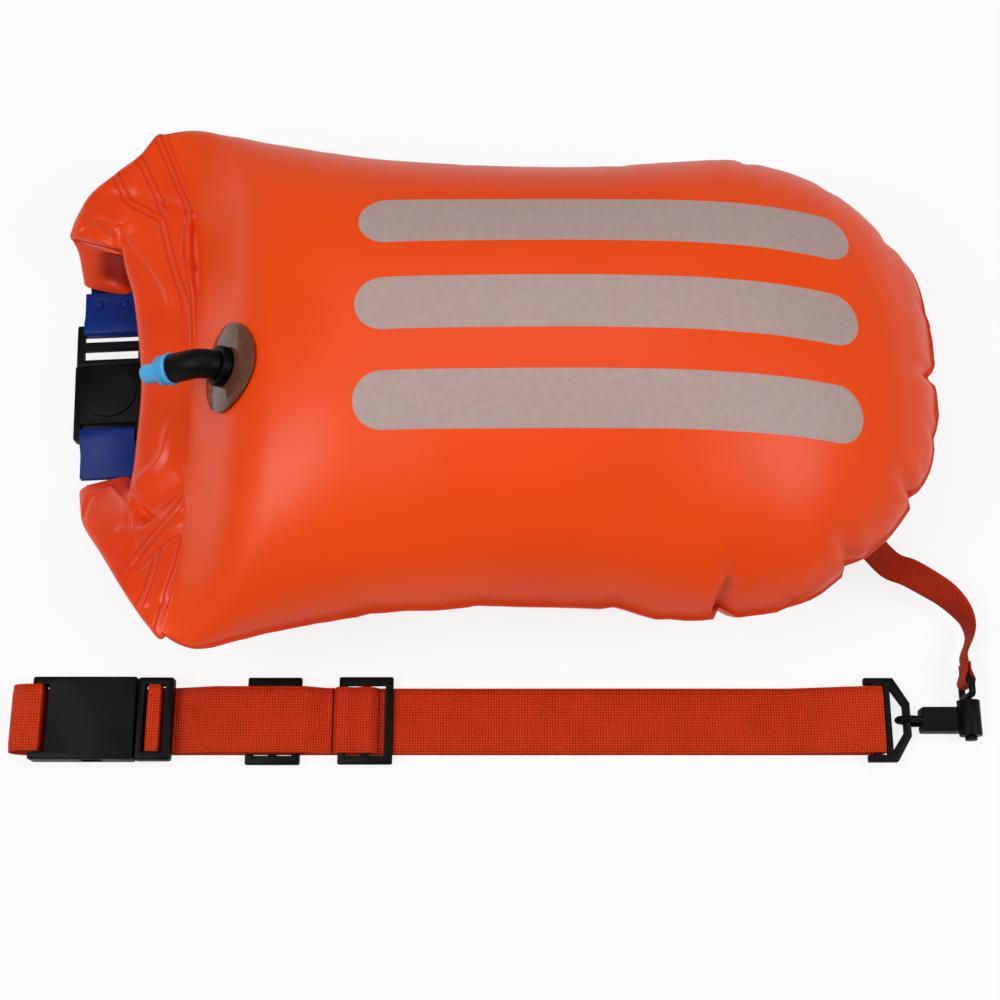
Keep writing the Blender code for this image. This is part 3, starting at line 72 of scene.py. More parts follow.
class Value:
    """One number in a finish: arithmetic on it adds the finish's Math nodes."""

    def __init__(self, finish, socket):
        self.finish = finish
        self.socket = socket

    def math(self, operation, *others, first=None):
        slots = {0: self if first is None else first}
        slots.update({i + 1: other for i, other in enumerate(others)})
        return self.finish.node("ShaderNodeMath", slots, 0, operation=operation)

    def __add__(self, other):
        return self.math("ADD", other)

    def __sub__(self, other):
        return self.math("SUBTRACT", other)

    def __rsub__(self, other):
        return self.math("SUBTRACT", self, first=other)

    def __mul__(self, other):
        return self.math("MULTIPLY", other)

    def __pow__(self, other):
        return self.math("POWER", other)

    def __gt__(self, other):
        return self.math("GREATER_THAN", other)

    def __abs__(self):
        return self.math("ABSOLUTE")

    __radd__ = __add__
    __rmul__ = __mul__

    def sine(self):
        return self.math("SINE")

    def step(self, low, high):
        """0 below low and 1 above high, eased between."""
        return self.finish.node("ShaderNodeMapRange", {"Value": self, 1: low, 2: high}, 0,
                                interpolation_type="SMOOTHSTEP")


class Finish:
    """One material of the buoy, on a Principled shader."""

    def __init__(self, name, **sockets):
        self.material = bpy.data.materials.new(name)
        self.material.use_nodes = True
        self.tree = self.material.node_tree
        self.tree.nodes.clear()
        self.surface = self.tree.nodes.new("ShaderNodeOutputMaterial").inputs["Surface"]
        self.shader = self.tree.nodes.new("ShaderNodeBsdfPrincipled")
        self.tree.links.new(self.shader.outputs[0], self.surface)
        for key, value in sockets.items():
            self.shader.inputs[key.replace("_", " ")].default_value = value

    def node(self, kind, inputs, output, **settings):
        """A node of one kind with its settings and inputs, as the value of one output."""
        made = self.tree.nodes.new(kind)
        for key, value in settings.items():
            setattr(made, key, value)
        for key, value in inputs.items():
            if isinstance(value, Value):
                self.tree.links.new(value.socket, made.inputs[key])
            else:
                made.inputs[key].default_value = value
        return Value(self, made.outputs[output])

    def place(self, kind="Object"):
        return self.node("ShaderNodeTexCoord", {}, kind)

    def part(self, vector):
        """The three numbers of a vector."""
        first = self.node("ShaderNodeSeparateXYZ", {0: vector}, 0)
        return [Value(self, socket) for socket in first.socket.node.outputs]

    def noise(self, vector, scale, detail=3.0, output="Fac"):
        return self.node(
            "ShaderNodeTexNoise", {"Vector": vector, "Scale": scale, "Detail": detail}, output)

    def mix(self, factor, a, b):
        return self.node("ShaderNodeMix", {0: factor, 6: a, 7: b}, 2, data_type="RGBA")

    def set(self, socket, value):
        self.tree.links.new(value.socket, self.shader.inputs[socket])

    def colour(self, factor, a, b):
        """The base colour: a where the factor is 0, going to b where it is 1."""
        self.set("Base Color", self.mix(factor, (*a, 1), (*b, 1)))

    def bump(self, height, distance, strength=1.0):
        self.set("Normal", self.node(
            "ShaderNodeBump", {"Height": height, "Distance": distance, "Strength": strength}, 0))


LAMP_AIM = Vector((0.0, 0.0, 0.05))


def lamp(name, place, size, power):
    """A square soft box at one place, turned to the middle of the bag."""
    light = bpy.data.lights.new(name, "AREA")
    light.shape = "SQUARE"
    light.size = size
    light.energy = power
    made = bpy.data.objects.new(name, light)
    made.location = place
    made.rotation_euler = (LAMP_AIM - Vector(place)).to_track_quat("-Z", "Y").to_euler()
    stage.collection.objects.link(made)


lamp("soft_box_left", (-0.80, -0.38, 1.25), 0.70, 10.5)
lamp("soft_box_right", (1.00, -0.30, 1.10), 0.70, 8.0)
lamp("overhead", (0.0, 0.55, 1.7), 1.2, 7.5)

# The room's fill light on the buoy; the camera itself sees plain white
ROOM_FILL = 0.24
world = bpy.data.worlds.new("studio_world")
stage.world = world
world.use_nodes = True
background = world.node_tree.nodes["Background"]
rays = world.node_tree.nodes.new("ShaderNodeLightPath")
seen = world.node_tree.nodes.new("ShaderNodeMath")
seen.operation = "MAXIMUM"
world.node_tree.links.new(rays.outputs["Is Camera Ray"], seen.inputs[0])
world.node_tree.links.new(rays.outputs["Is Transmission Ray"], seen.inputs[1])
level = world.node_tree.nodes.new("ShaderNodeMapRange")
level.inputs["To Min"].default_value = ROOM_FILL
level.inputs["To Max"].default_value = 1.0
world.node_tree.links.new(seen.outputs[0], level.inputs["Value"])
world.node_tree.links.new(level.outputs[0], background.inputs["Strength"])
background.inputs["Color"].default_value = (1.0, 1.0, 1.0, 1.0)

PAPER_GLOW = 0.82
floor_mesh = bpy.data.meshes.new("table_top")
floor_mesh.from_pydata([(-4, -4, 0), (4, -4, 0), (4, 4, 0), (-4, 4, 0)], [], [(0, 1, 2, 3)])
table_top = bpy.data.objects.new("table_top", floor_mesh)
table_top.location.z = -0.0004
stage.collection.objects.link(table_top)
paper = Finish("white_paper", Base_Color=(0.9, 0.9, 0.9, 1), Roughness=0.9)
glow = paper.tree.nodes.new("ShaderNodeEmission")
blend = paper.tree.nodes.new("ShaderNodeMixShader")
camera_ray = paper.node("ShaderNodeLightPath", {}, "Is Camera Ray")
share = camera_ray * PAPER_GLOW
paper.tree.links.new(share.socket, blend.inputs[0])
paper.tree.links.new(paper.shader.outputs[0], blend.inputs[1])
paper.tree.links.new(glow.outputs[0], blend.inputs[2])
paper.tree.links.new(blend.outputs[0], paper.surface)
floor_mesh.materials.append(paper.material)

# The tether: a flat woven tape from the dee under the bag to the hook's swivel eye. It is cut
# from polyester tape and lies a quarter turn twisted, standing on edge by the eye.
TETHER_LINE = (
    (0.1979, -0.0672, 0.0364), (0.2047, -0.0732, 0.0417), (0.2232, -0.0855, 0.0255),
    (0.2349, -0.0900, 0.0235), (0.2466, -0.0962, 0.0215), (0.2566, -0.1022, 0.0190),
    (0.2645, -0.1100, 0.0165), (0.2690, -0.1180, 0.0145), (0.2695, -0.1260, 0.0130),
    (0.2655, -0.1356, 0.0126), (0.2655, -0.1409, 0.0126),
)
TETHER_SIDES = (
    (5.05, 6.47, 0.87), (5.12, 6.35, 1.24), (4.78, 6.41, 2.04), (3.61, 6.68, 3.23),
    (4.09, 5.65, 4.41), (4.55, 3.82, 5.73), (4.07, 1.18, 7.08), (2.11, -1.07, 7.90),
    (0.11, -0.90, 8.20), (-0.06, -0.21, 8.25), (0.0, 0.0, 8.25),
)
TETHER_HALF = 0.00825
TAPE_THICK = 0.0014
# Places across each face of a tape, and how much of its thickness is left at the selvedge
TAPE_POINTS = 9
SELVEDGE = 0.42


def smooth_points(points, steps):
    """A smooth line through points, with steps places in each span."""
    out = []
    for i in range(len(points) - 1):
        p0, p1 = points[max(i - 1, 0)], points[i]
        p2, p3 = points[i + 1], points[min(i + 2, len(points) - 1)]
        for k in range(steps):
            t = k / steps
            out.append(0.5 * (2 * p1 + (p2 - p0) * t + (2 * p0 - 5 * p1 + 4 * p2 - p3) * t**2
                              + (3 * p1 - p0 - 3 * p2 + p3) * t**3))
    return out + [points[-1]]


def even_points(points, gap):
    """Places a set distance apart along a line, its corners kept."""
    out = [points[0]]
    for a, b in zip(points, points[1:]):
        count = max(1, round((b - a).length / gap))
        out += [a.lerp(b, (k + 1) / count) for k in range(count)]
    return out


def walls(bm, rings):
    """Smooth walls between successive rings of the same count."""
    for a, b in zip(rings, rings[1:]):
        for k in range(len(a)):
            n = (k + 1) % len(a)
            bm.faces.new((a[k], a[n], b[n], b[k])).smooth = True


def as_piece(bm, name, finish):
    """The mesh as one piece at the origin, its faces turned outwards, with its finish."""
    bmesh.ops.recalc_face_normals(bm, faces=bm.faces)
    mesh = bpy.data.meshes.new(name)
    bm.to_mesh(mesh)
    bm.free()
    mesh.materials.append(finish.material)
    made = bpy.data.objects.new(name, mesh)
    stage.collection.objects.link(made)
    return made


def tape(name, line, sides, thick, finish, waves=0.0):
    """A woven tape swept along a line, with rounded selvedges and its weave on a UV map."""
    bm = bmesh.new()
    weave = bm.loops.layers.uv.new("weave")
    edge = thick / 2
    section = [(-1 + 2 * i / (TAPE_POINTS - 1), 1) for i in range(TAPE_POINTS)]
    section += [(x, -1) for x, _ in reversed(section)]
    rings = []
    runs = [0.0]
    for i, place in enumerate(line):
        run = (line[min(i + 1, len(line) - 1)] - line[max(i - 1, 0)]).normalized()
        half = sides[i]
        wide = half.length
        half = half.normalized()
        up = half.cross(run).normalized()
        if i:
            runs.append(runs[-1] + (place - line[i - 1]).length)
        ring = []
        for x, y in section:
            end = abs(x) > 0.99
            reach = x * (wide if end else wide - edge * 0.5 * (abs(x) ** 6))
            lift = edge * y * (SELVEDGE if end else 1.0)
            sway = waves * math.sin(runs[-1] * 41 + x * 1.3) * (0.4 + 0.6 * abs(x))
            ring.append(bm.verts.new(place + half * reach + up * (lift + sway)))
        rings.append(ring)
    count = len(section)
    width = sides[0].length * 2
    for i in range(len(rings) - 1):
        for k in range(count):
            a, b = rings[i], rings[i + 1]
            n = (k + 1) % count
            face = bm.faces.new((a[k], a[n], b[n], b[k]))
            face.smooth = True
            left, right = section[k][0], section[n][0]
            spots = ((left, i), (right, i), (right, i + 1), (left, i + 1))
            for loop, (x, j) in zip(face.loops, spots):
                loop[weave].uv = ((x + 1) * width / 2, runs[j])
    for ring in (rings[0], rings[-1]):
        bm.faces.new(ring)
    return as_piece(bm, name, finish)


# How square the threads look, and how wide the bound edge of a tape is
THREAD_CURVE = 0.6
BOUND_EDGE = 0.0016


def woven(name, colour, shade, pitch, beat, width):
    """Plain-woven webbing: crossing threads, a bound edge, a faint unevenness of dye, and painted
    shade in the gaps between threads.
    """
    finish = Finish(name, Roughness=0.7, Specular_IOR_Level=0.2)
    u, v, _ = finish.part(finish.place("UV"))
    warp = abs((u * (math.pi / pitch)).sine()) ** THREAD_CURVE
    weft = abs((v * (math.pi / beat)).sine()) ** THREAD_CURVE
    cell = warp * weft
    edge = abs(u - width / 2) > width / 2 - BOUND_EDGE
    dye = finish.noise(finish.place(), 55.0, 4.0)
    thread = finish.noise(finish.place(), 900.0, 2.0)
    # Painted shade in the gaps between the threads, added to the dye's real unevenness and the
    # thread noise
    dye_and_gap_shade = (1 - cell) * 0.75 + (dye - 0.5) * 0.45 + (thread - 0.5) * 0.4 - edge * 0.1
    finish.colour(dye_and_gap_shade.step(0.0, 0.85), colour, shade)
    finish.set("Roughness", cell * -0.12 + 0.74)
    finish.bump(cell + weft * 0.35 + thread * 0.25, 0.0005, 0.8)
    return finish


tether_weave = woven("tether_weave", (0.50, 0.024, 0.0010), (0.20, 0.008, 0.0005),
                     0.0013, 0.0014, 0.0165)
tether_path = smooth_points([Vector(p) for p in TETHER_LINE], 4)
tether_sides = [
    s.normalized() * TETHER_HALF
    for s in smooth_points([Vector(s) / 1000 for s in TETHER_SIDES], 4)]
tether_tape = tape("tether_tape", tether_path, tether_sides, TAPE_THICK, tether_weave)
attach(tether_tape, "buoy")
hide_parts("tether")
tether_length = sum((b - a).length for a, b in zip(tether_path, tether_path[1:]))

# The air bag: two sheets of film-coated cloth welded at the rim and blown up tight. The weld
# gathers where the film has to give, so the rim dips at each gather and a crease runs inward.
BAG_LENGTH = 0.414
BAG_CREASE = -0.172
BAG_MID = Vector((0.0, 0.007, 0.0808))
BAG_HALF = 0.153
BAG_RISE = 0.0860
BAG_BELLY = 0.0804
# Half widths at the far and near side and the heights, as shares, along the bag
FAR_WIDTHS = np.array((
    (0.0, 1.005), (0.030, 1.022), (0.064, 0.988), (0.105, 0.942), (0.152, 0.905), (0.226, 0.862),
    (0.321, 0.833), (0.416, 0.817), (0.554, 0.815), (0.666, 0.841), (0.733, 0.853),
    (0.784, 0.830), (0.819, 0.806), (0.862, 0.754), (0.919, 0.638), (0.950, 0.540),
    (0.970, 0.474), (0.990, 0.355), (1.0, 0.200),
))
NEAR_WIDTHS = np.array((
    (0.0, 0.955), (0.020, 0.990), (0.036, 1.004), (0.052, 1.0), (0.078, 0.978), (0.130, 0.942),
    (0.208, 0.900), (0.286, 0.868), (0.338, 0.864), (0.389, 0.850), (0.442, 0.852),
    (0.545, 0.860), (0.580, 0.866), (0.600, 0.884), (0.623, 0.900), (0.649, 0.902), (0.701, 0.896),
    (0.727, 0.888), (0.779, 0.868), (0.831, 0.806), (0.857, 0.750), (0.883, 0.696),
    (0.932, 0.572), (0.966, 0.436), (0.990, 0.297), (1.0, 0.160),
))
BAG_HEIGHTS = np.array((
    (0.0, 0.05), (0.017, 0.175), (0.034, 0.30), (0.053, 0.448), (0.070, 0.575),
    (0.089, 0.68), (0.114, 0.767), (0.159, 0.85), (0.27, 0.93), (0.415, 0.965),
    (0.56, 0.965), (0.681, 0.919), (0.778, 0.814), (0.874, 0.605), (0.947, 0.349),
    (0.983, 0.163), (1.0, 0.023),
))
# Each gather in the weld: its place in plan, how far the rim dips in mm, the crease's length, lean
BAG_GATHERS = (
    ((0.0647, 0.137), 0.8, 0.012, 0.1), ((0.143, 0.137), 2.2, 0.016, -0.3),
    ((0.216, 0.083), 1.4, 0.012, -0.2), ((0.239, 0.007), 4.2, 0.013, 0.25),
    ((0.223, -0.062), 4.4, 0.014, 0.1), ((0.186, -0.0995), 4.6, 0.016, 0.35),
    ((0.1186, -0.1275), 9.0, 0.020, -0.25), ((0.0604, -0.124), 1.2, 0.014, 0.4),
    ((-0.012, -0.123), 0.6, 0.010, -0.2), ((-0.072, -0.130), 0.8, 0.012, 0.3),
    ((-0.125, -0.139), 0.7, 0.010, -0.2), ((-0.02, 0.141), 0.5, 0.010, 0.2),
    ((-0.10, 0.146), 0.5, 0.010, -0.2), ((0.185, 0.114), 0.8, 0.010, 0.3),
    ((0.235, 0.045), 0.9, 0.010, -0.2), ((0.236, -0.028), 1.2, 0.010, -0.3),
    ((0.154, -0.117), 1.2, 0.012, 0.2), ((0.09, -0.127), 0.8, 0.010, 0.2),
)
# How far the mouth's two corners reach back past the crease, and the share of length they fade in
FAR_CORNER = 0.0276
NEAR_CORNER = 0.008
CORNER_SHARE = 0.2
# A crease's half width at the rim, how it widens inward, and its depth for each mm of dip
CREASE_WIDE = 0.0028
CREASE_SPREAD = 0.16
CREASE_DEPTH = 0.00050
# The notch that a gather draws in the rim: its half width and how far inward it is felt
NOTCH_WIDE = 0.0048
NOTCH_REACH = 0.009
RIPPLE = 0.00012
RIPPLE_REACH = 0.010


def eased(table, at):
    """A smooth curve through a table of places and values."""
    xs, ys = table[:, 0], table[:, 1]
    slopes = np.gradient(ys, xs)
    i = np.clip(np.searchsorted(xs, at, side="right") - 1, 0, len(xs) - 2)
    wide = xs[i + 1] - xs[i]
    t = (at - xs[i]) / wide
    return (ys[i] * (2 * t**3 - 3 * t**2 + 1) + ys[i + 1] * (3 * t**2 - 2 * t**3)
            + slopes[i] * wide * (t**3 - 2 * t**2 + t) + slopes[i + 1] * wide * (t**3 - t**2))


def bag_surface(shares, angles, side):
    """Places on the blown-up bag before its gathers, as an array of rows."""
    share, angle = np.meshgrid(shares, angles, indexing="ij")
    across = np.sin(angle)
    corner = np.where(across > 0, -FAR_CORNER * np.maximum(0, (across - 0.5) / 0.5) ** 1.25,
                      -NEAR_CORNER * np.maximum(0, (-across - 0.6) / 0.4) ** 2)
    corner = corner * np.maximum(0, 1 - share / CORNER_SHARE) ** 2
    x = BAG_CREASE + BAG_LENGTH * share + corner
    wide = np.where(across > 0, eased(FAR_WIDTHS, share), eased(NEAR_WIDTHS, share))
    y = BAG_MID.y + BAG_HALF * wide * across
    z = side * BAG_RISE * eased(BAG_HEIGHTS, share) * np.cos(angle)
    return np.stack((x, y, BAG_MID.z + np.maximum(z, -BAG_BELLY)), axis=-1)


def bag_rim():
    """The weld line round the bag in plan, from the far mouth corner to the near one."""
    shares = 0.5 - 0.5 * np.cos(np.linspace(0, math.pi, 260))
    ends = np.linspace(math.pi / 2, -math.pi / 2, 50)[1:-1]
    far = bag_surface(shares, np.array([math.pi / 2]), 1)[:, 0]
    near = bag_surface(shares[::-1], np.array([-math.pi / 2]), 1)[:, 0]
    end = bag_surface(np.array([1.0]), ends, 1)[0]
    return np.concatenate((far, end, near))


rim = bag_rim()
rim_run = np.concatenate(([0], np.cumsum(np.linalg.norm(np.diff(rim[:, :2], axis=0), axis=1))))


def rim_place(points):
    """For each point, how far round the rim its nearest place is, and how far in it lies."""
    flat = points[:, :2]
    runs = np.zeros(len(flat))
    inward = np.zeros(len(flat))
    for start in range(0, len(flat), 2000):
        block = flat[start:start + 2000]
        gap = np.linalg.norm(block[:, None, :] - rim[None, :, :2], axis=2)
        best = gap.argmin(axis=1)
        runs[start:start + 2000] = rim_run[best]
        inward[start:start + 2000] = gap[np.arange(len(block)), best]
    return runs, inward


gather_runs, _ = rim_place(np.array([(x, y, 0) for (x, y), _, _, _ in BAG_GATHERS]))


def gathers(points, side):
    """How deep the creases are at each point, and how far the rim is drawn in there."""
    runs, inward = rim_place(points)
    depth = np.zeros(len(points))
    draw = np.zeros(len(points))
    for (_, dip, length, lean), at in zip(BAG_GATHERS, gather_runs):
        away = runs - at - lean * inward * side
        wide = CREASE_WIDE + CREASE_SPREAD * inward
        line = np.exp(-(away / wide) ** 2)
        shoulder = 0.4 * np.exp(-((np.abs(away) - 2.2 * wide) / (1.3 * wide)) ** 2)
        fade = np.exp(-(inward / (length * 0.8)) ** 2) * (1 - np.exp(-((inward + 0.001) / 0.004)))
        depth += dip * CREASE_DEPTH * (line - shoulder) * fade
        notch = np.exp(-(away / NOTCH_WIDE) ** 2) * np.exp(-inward / NOTCH_REACH)
        draw += dip / 1000 * notch
    ripple = np.sin(runs * 310 + 2.0 * np.sin(runs * 47)) * RIPPLE * np.exp(-inward / RIPPLE_REACH)
    depth += ripple * (0.5 + 0.5 * np.sin(runs * 23 + side))
    return depth, draw


# The place in plan that every gather pulls towards, and the belly's clearance of the table
BAG_HEART = np.array((0.03, BAG_MID.y, 0))
TABLE_GAP = 0.0002
bag_shares = 0.5 - 0.5 * np.cos(np.linspace(0, math.pi, 171))
bag_angles = np.linspace(math.pi / 2, -math.pi / 2, 81)
bag_angles = bag_angles * 0.82 + 0.18 * np.sin(bag_angles) * math.pi / 2
bag_rows = []
for side in (1, -1):
    rows = bag_surface(bag_shares, bag_angles, side)
    du = np.gradient(rows, axis=0)
    dv = np.gradient(rows, axis=1)
    normal = np.cross(dv, du) * side
    normal /= np.maximum(np.linalg.norm(normal, axis=2, keepdims=True), 1e-12)
    if normal[len(bag_shares) // 2, len(bag_angles) // 2, 2] * side < 0:
        normal = -normal
    flat = rows.reshape(-1, 3)
    depth, draw = gathers(flat, side)
    pull = BAG_HEART - flat
    pull[:, 2] = 0
    pull /= np.maximum(np.linalg.norm(pull, axis=1, keepdims=True), 1e-9)
    moved = flat - normal.reshape(-1, 3) * depth[:, None] + pull * draw[:, None]
    moved[:, 2] = np.maximum(moved[:, 2], TABLE_GAP)
    bag_rows.append(moved.reshape(rows.shape))
upper_rows, lower_rows = bag_rows
for rows in bag_rows:
    rows[:, 0] = (upper_rows[:, 0] + lower_rows[:, 0]) / 2
    rows[:, -1] = (upper_rows[:, -1] + lower_rows[:, -1]) / 2
bm = bmesh.new()
rings = []
for up, low in zip(upper_rows, lower_rows):
    ring = [bm.verts.new(p) for p in up]
    ring += [bm.verts.new(p) for p in low[-2:0:-1]]
    rings.append(ring)
walls(bm, rings)
width = len(bag_angles)
for ring in (rings[0], rings[-1]):
    top, bottom = ring[:width], [ring[0]] + ring[:width - 1:-1] + [ring[width - 1]]
    for k in range(width - 1):
        corners = (top[k], top[k + 1], bottom[k + 1], bottom[k])
        unique = [v for i, v in enumerate(corners) if v not in corners[:i]]
        bm.faces.new(unique).smooth = True

coated = Finish("coated_cloth", Roughness=0.36, Specular_IOR_Level=0.24)
spot = coated.place()
x, y, z = coated.part(spot)
# Three plain bars printed along the top: their two ends, half width and middle lines
BAR_ENDS = (-0.075, 0.190)
BAR_HALF = 0.0150
BAR_MIDDLES = (0.068, 0.016, -0.036)
PRINT_EDGE = 0.0002


def bar(across):
    """1 inside a rounded bar in plan and 0 outside it, with a crisp edge."""
    low, high = BAR_ENDS
    reach = coated.node(
        "ShaderNodeClamp", {"Value": x, "Min": low + BAR_HALF, "Max": high - BAR_HALF}, 0)
    dx = x - reach
    dy = y - across
    away = (dx * dx + dy * dy) ** 0.5
    return 1 - away.step(BAR_HALF - PRINT_EDGE, BAR_HALF + PRINT_EDGE)


far_bar, middle_bar, near_bar = [bar(across) for across in BAR_MIDDLES]
printed = (far_bar + middle_bar + near_bar) * (z > BAG_MID.z)
cloud = coated.noise(spot, 7.0, 2.0)
fine = coated.noise(spot, 260.0, 3.0)
body = coated.mix(cloud.step(0.3, 0.75), (0.80, 0.062, 0.0015, 1), (0.74, 0.052, 0.0012, 1))
ink = coated.mix(fine.step(0.3, 0.7), (0.41, 0.30, 0.275, 1), (0.38, 0.275, 0.255, 1))
coated.set("Base Color", coated.mix(printed, body, ink))
coated.set("Roughness", printed * 0.10 + (fine - 0.5) * 0.08 + 0.36)
web_x = (x * 3400.0).sine()
web_y = (y * 3400.0).sine()
coated.bump(web_x * web_y * 0.12 + fine * 0.35 + printed * 0.5, 0.0001, 0.35)
air_bag = as_piece(bm, "air_bag", coated)
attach(air_bag, "buoy")
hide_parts("upper_skin", "lower_skin", "upper_liner", "lower_liner")

# The rim weld: the two sheets pressed to one thin flat band that runs round the bag. It is
# trimmed close, follows the gathers and shows as a thin deeper orange line.
WELD_WIDE = 0.0013
WELD_HALF_THICK = 0.0004
WELD_OVERLAP = 0.004
# How many places the band takes to fade in at each of its ends
WELD_FADE = 14
rim_up, rim_low = upper_rows[:, 0], upper_rows[:, -1]
rim_end = upper_rows[-1, 1:-1]
weld_line = [Vector(p) for p in np.concatenate((rim_up, rim_end, rim_low[::-1]))]
weld_line = weld_line[::2] + [weld_line[-1]]
bm = bmesh.new()
rings = []
for i, place in enumerate(weld_line):
    run = weld_line[min(i + 1, len(weld_line) - 1)] - weld_line[max(i - 1, 0)]
    out = Vector((-run.y, run.x, 0)).normalized()
    lift = 0.0002 * math.sin(i * 0.55)
    fade = min(1.0, min(i, len(weld_line) - 1 - i) / WELD_FADE)
    wide = (WELD_WIDE + 0.0002 * math.sin(i * 0.33)) * fade + 0.0001
    rings.append([
        bm.verts.new(place + out * a + Vector((0, 0, b * WELD_HALF_THICK + lift)))
        for a, b in ((-WELD_OVERLAP, 1), (wide * 0.8, 1), (wide, 0), (wide * 0.8, -1),
                     (-WELD_OVERLAP, -1))])
walls(bm, rings)
for ring in (rings[0], rings[-1]):
    bm.faces.new(ring)
pressed = Finish("pressed_weld", Roughness=0.45, Specular_IOR_Level=0.25)
grain = pressed.noise(pressed.place(), 500.0, 2.0)
pressed.colour(grain, (0.66, 0.034, 0.001), (0.54, 0.022, 0.0008))
pressed.bump(grain, 0.0002, 0.5)
rim_weld = as_piece(bm, "rim_weld", pressed)
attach(rim_weld, "buoy")

# The rolled mouth: the bag's neck of film, joined by double weld lines, rolled round a stiff
# strip and bent round so that its ends meet at the buckle. Its arms lie in soft pleats.
# Each station of the neck in mm: its outer edge, its inner edge and its thickness
NECK_STATIONS = (
    ((-245.3, -43.4, 24.2), (-214.2, -34.8, 24.2), 9.9),
    ((-241.9, -54.5, 32.0), (-214.6, -36.9, 27.0), 10.4),
    ((-236.9, -67.8, 40.0), (-214.3, -39.2, 30.0), 10.8),
    ((-221.7, -88.9, 54.0), (-212.8, -42.4, 36.0), 11.7),
    ((-203.9, -114.4, 68.0), (-211.2, -45.6, 42.0), 12.6),
    ((-189.7, -132.9, 75.0), (-210.0, -47.3, 46.0), 13.2),
    ((-178.6, -141.6, 79.5), (-208.9, -48.2, 49.0), 13.6),
    ((-170.5, -117.1, 82.5), (-208.1, -48.8, 51.5), 14.0),
    ((-165.9, -92.9, 83.5), (-207.4, -48.3, 53.5), 14.4),
    ((-163.2, -72.7, 84.0), (-206.6, -45.9, 55.5), 14.8),
    ((-162.4, -53.3, 84.0), (-205.3, -38.3, 57.5), 15.0),
    ((-163.1, -32.9, 84.0), (-204.4, -22.0, 59.0), 15.0),
    ((-164.4, -0.4, 84.0), (-203.8, 9.4, 59.8), 15.0),
    ((-165.5, 28.6, 84.0), (-207.6, 39.3, 59.8), 15.0),
    ((-168.3, 53.3, 84.0), (-212.2, 64.5, 60.0), 15.0),
    ((-167.8, 77.1, 84.0), (-216.1, 76.4, 62.0), 14.8),
    ((-169.8, 98.9, 83.6), (-218.6, 84.4, 64.0), 14.6),
    ((-178.3, 123.6, 83.2), (-219.5, 88.8, 65.5), 14.3),
    ((-187.3, 145.2, 82.3), (-219.7, 91.0, 66.3), 13.8),
    ((-199.0, 162.0, 81.0), (-219.7, 92.1, 66.8), 13.2),
    ((-211.6, 149.6, 77.0), (-220.0, 92.6, 67.0), 12.6),
    ((-225.6, 141.1, 72.0), (-221.5, 93.3, 67.0), 12.2),
    ((-240.7, 130.0, 67.0), (-228.3, 95.1, 66.0), 11.8),
    ((-247.9, 118.8, 62.0), (-238.3, 99.5, 62.5), 10.5),
    ((-253.2, 108.6, 56.5), (-249.8, 105.2, 56.5), 6.0),
    ((-255.1, 108.5, 50.0), (-223.2, 98.4, 53.0), 5.0),
    ((-253.0, 104.3, 44.0), (-224.0, 96.0, 46.0), 7.0),
    ((-252.9, 98.6, 34.0), (-224.0, 91.4, 35.0), 8.6),
    ((-253.4, 93.3, 24.2), (-222.7, 86.6, 24.2), 9.6),
)
# The station at the far end's tip, and the rows between two stations
NECK_TIP = 24
NECK_STEPS = 16
# The weld lines' centre lines in plan, in mm
NECK_WELDS = (
    ((-200.5, 157.0), (-189.2, 131.2), (-179.3, 107.4), (-178.8, 93.5), (-177.9, 80.3),
     (-175.0, 65.9), (-173.0, 50.5), (-169.0, -3.2), (-167.1, -35.5), (-167.6, -54.6),
     (-172.3, -65.9), (-181.6, -77.2), (-190.1, -85.1), (-198.9, -93.5), (-203.7, -101.5),
     (-206.5, -110.8)),
    ((-213.2, 147.8), (-204.7, 131.6), (-198.0, 116.7), (-193.1, 107.4)),
    ((-185.3, -93.0), (-188.2, -106.5), (-194.8, -125.4)),
    ((-225.9, 138.5), (-219.1, 121.9), (-205.4, 111.7), (-196.5, 105.5), (-193.6, 97.2),
     (-189.2, 81.9), (-183.4, 65.6), (-179.0, 53.3), (-176.4, 40.4)),
    ((-170.8, -90.8), (-173.7, -104.8), (-178.0, -118.1), (-183.0, -139.0)),
)
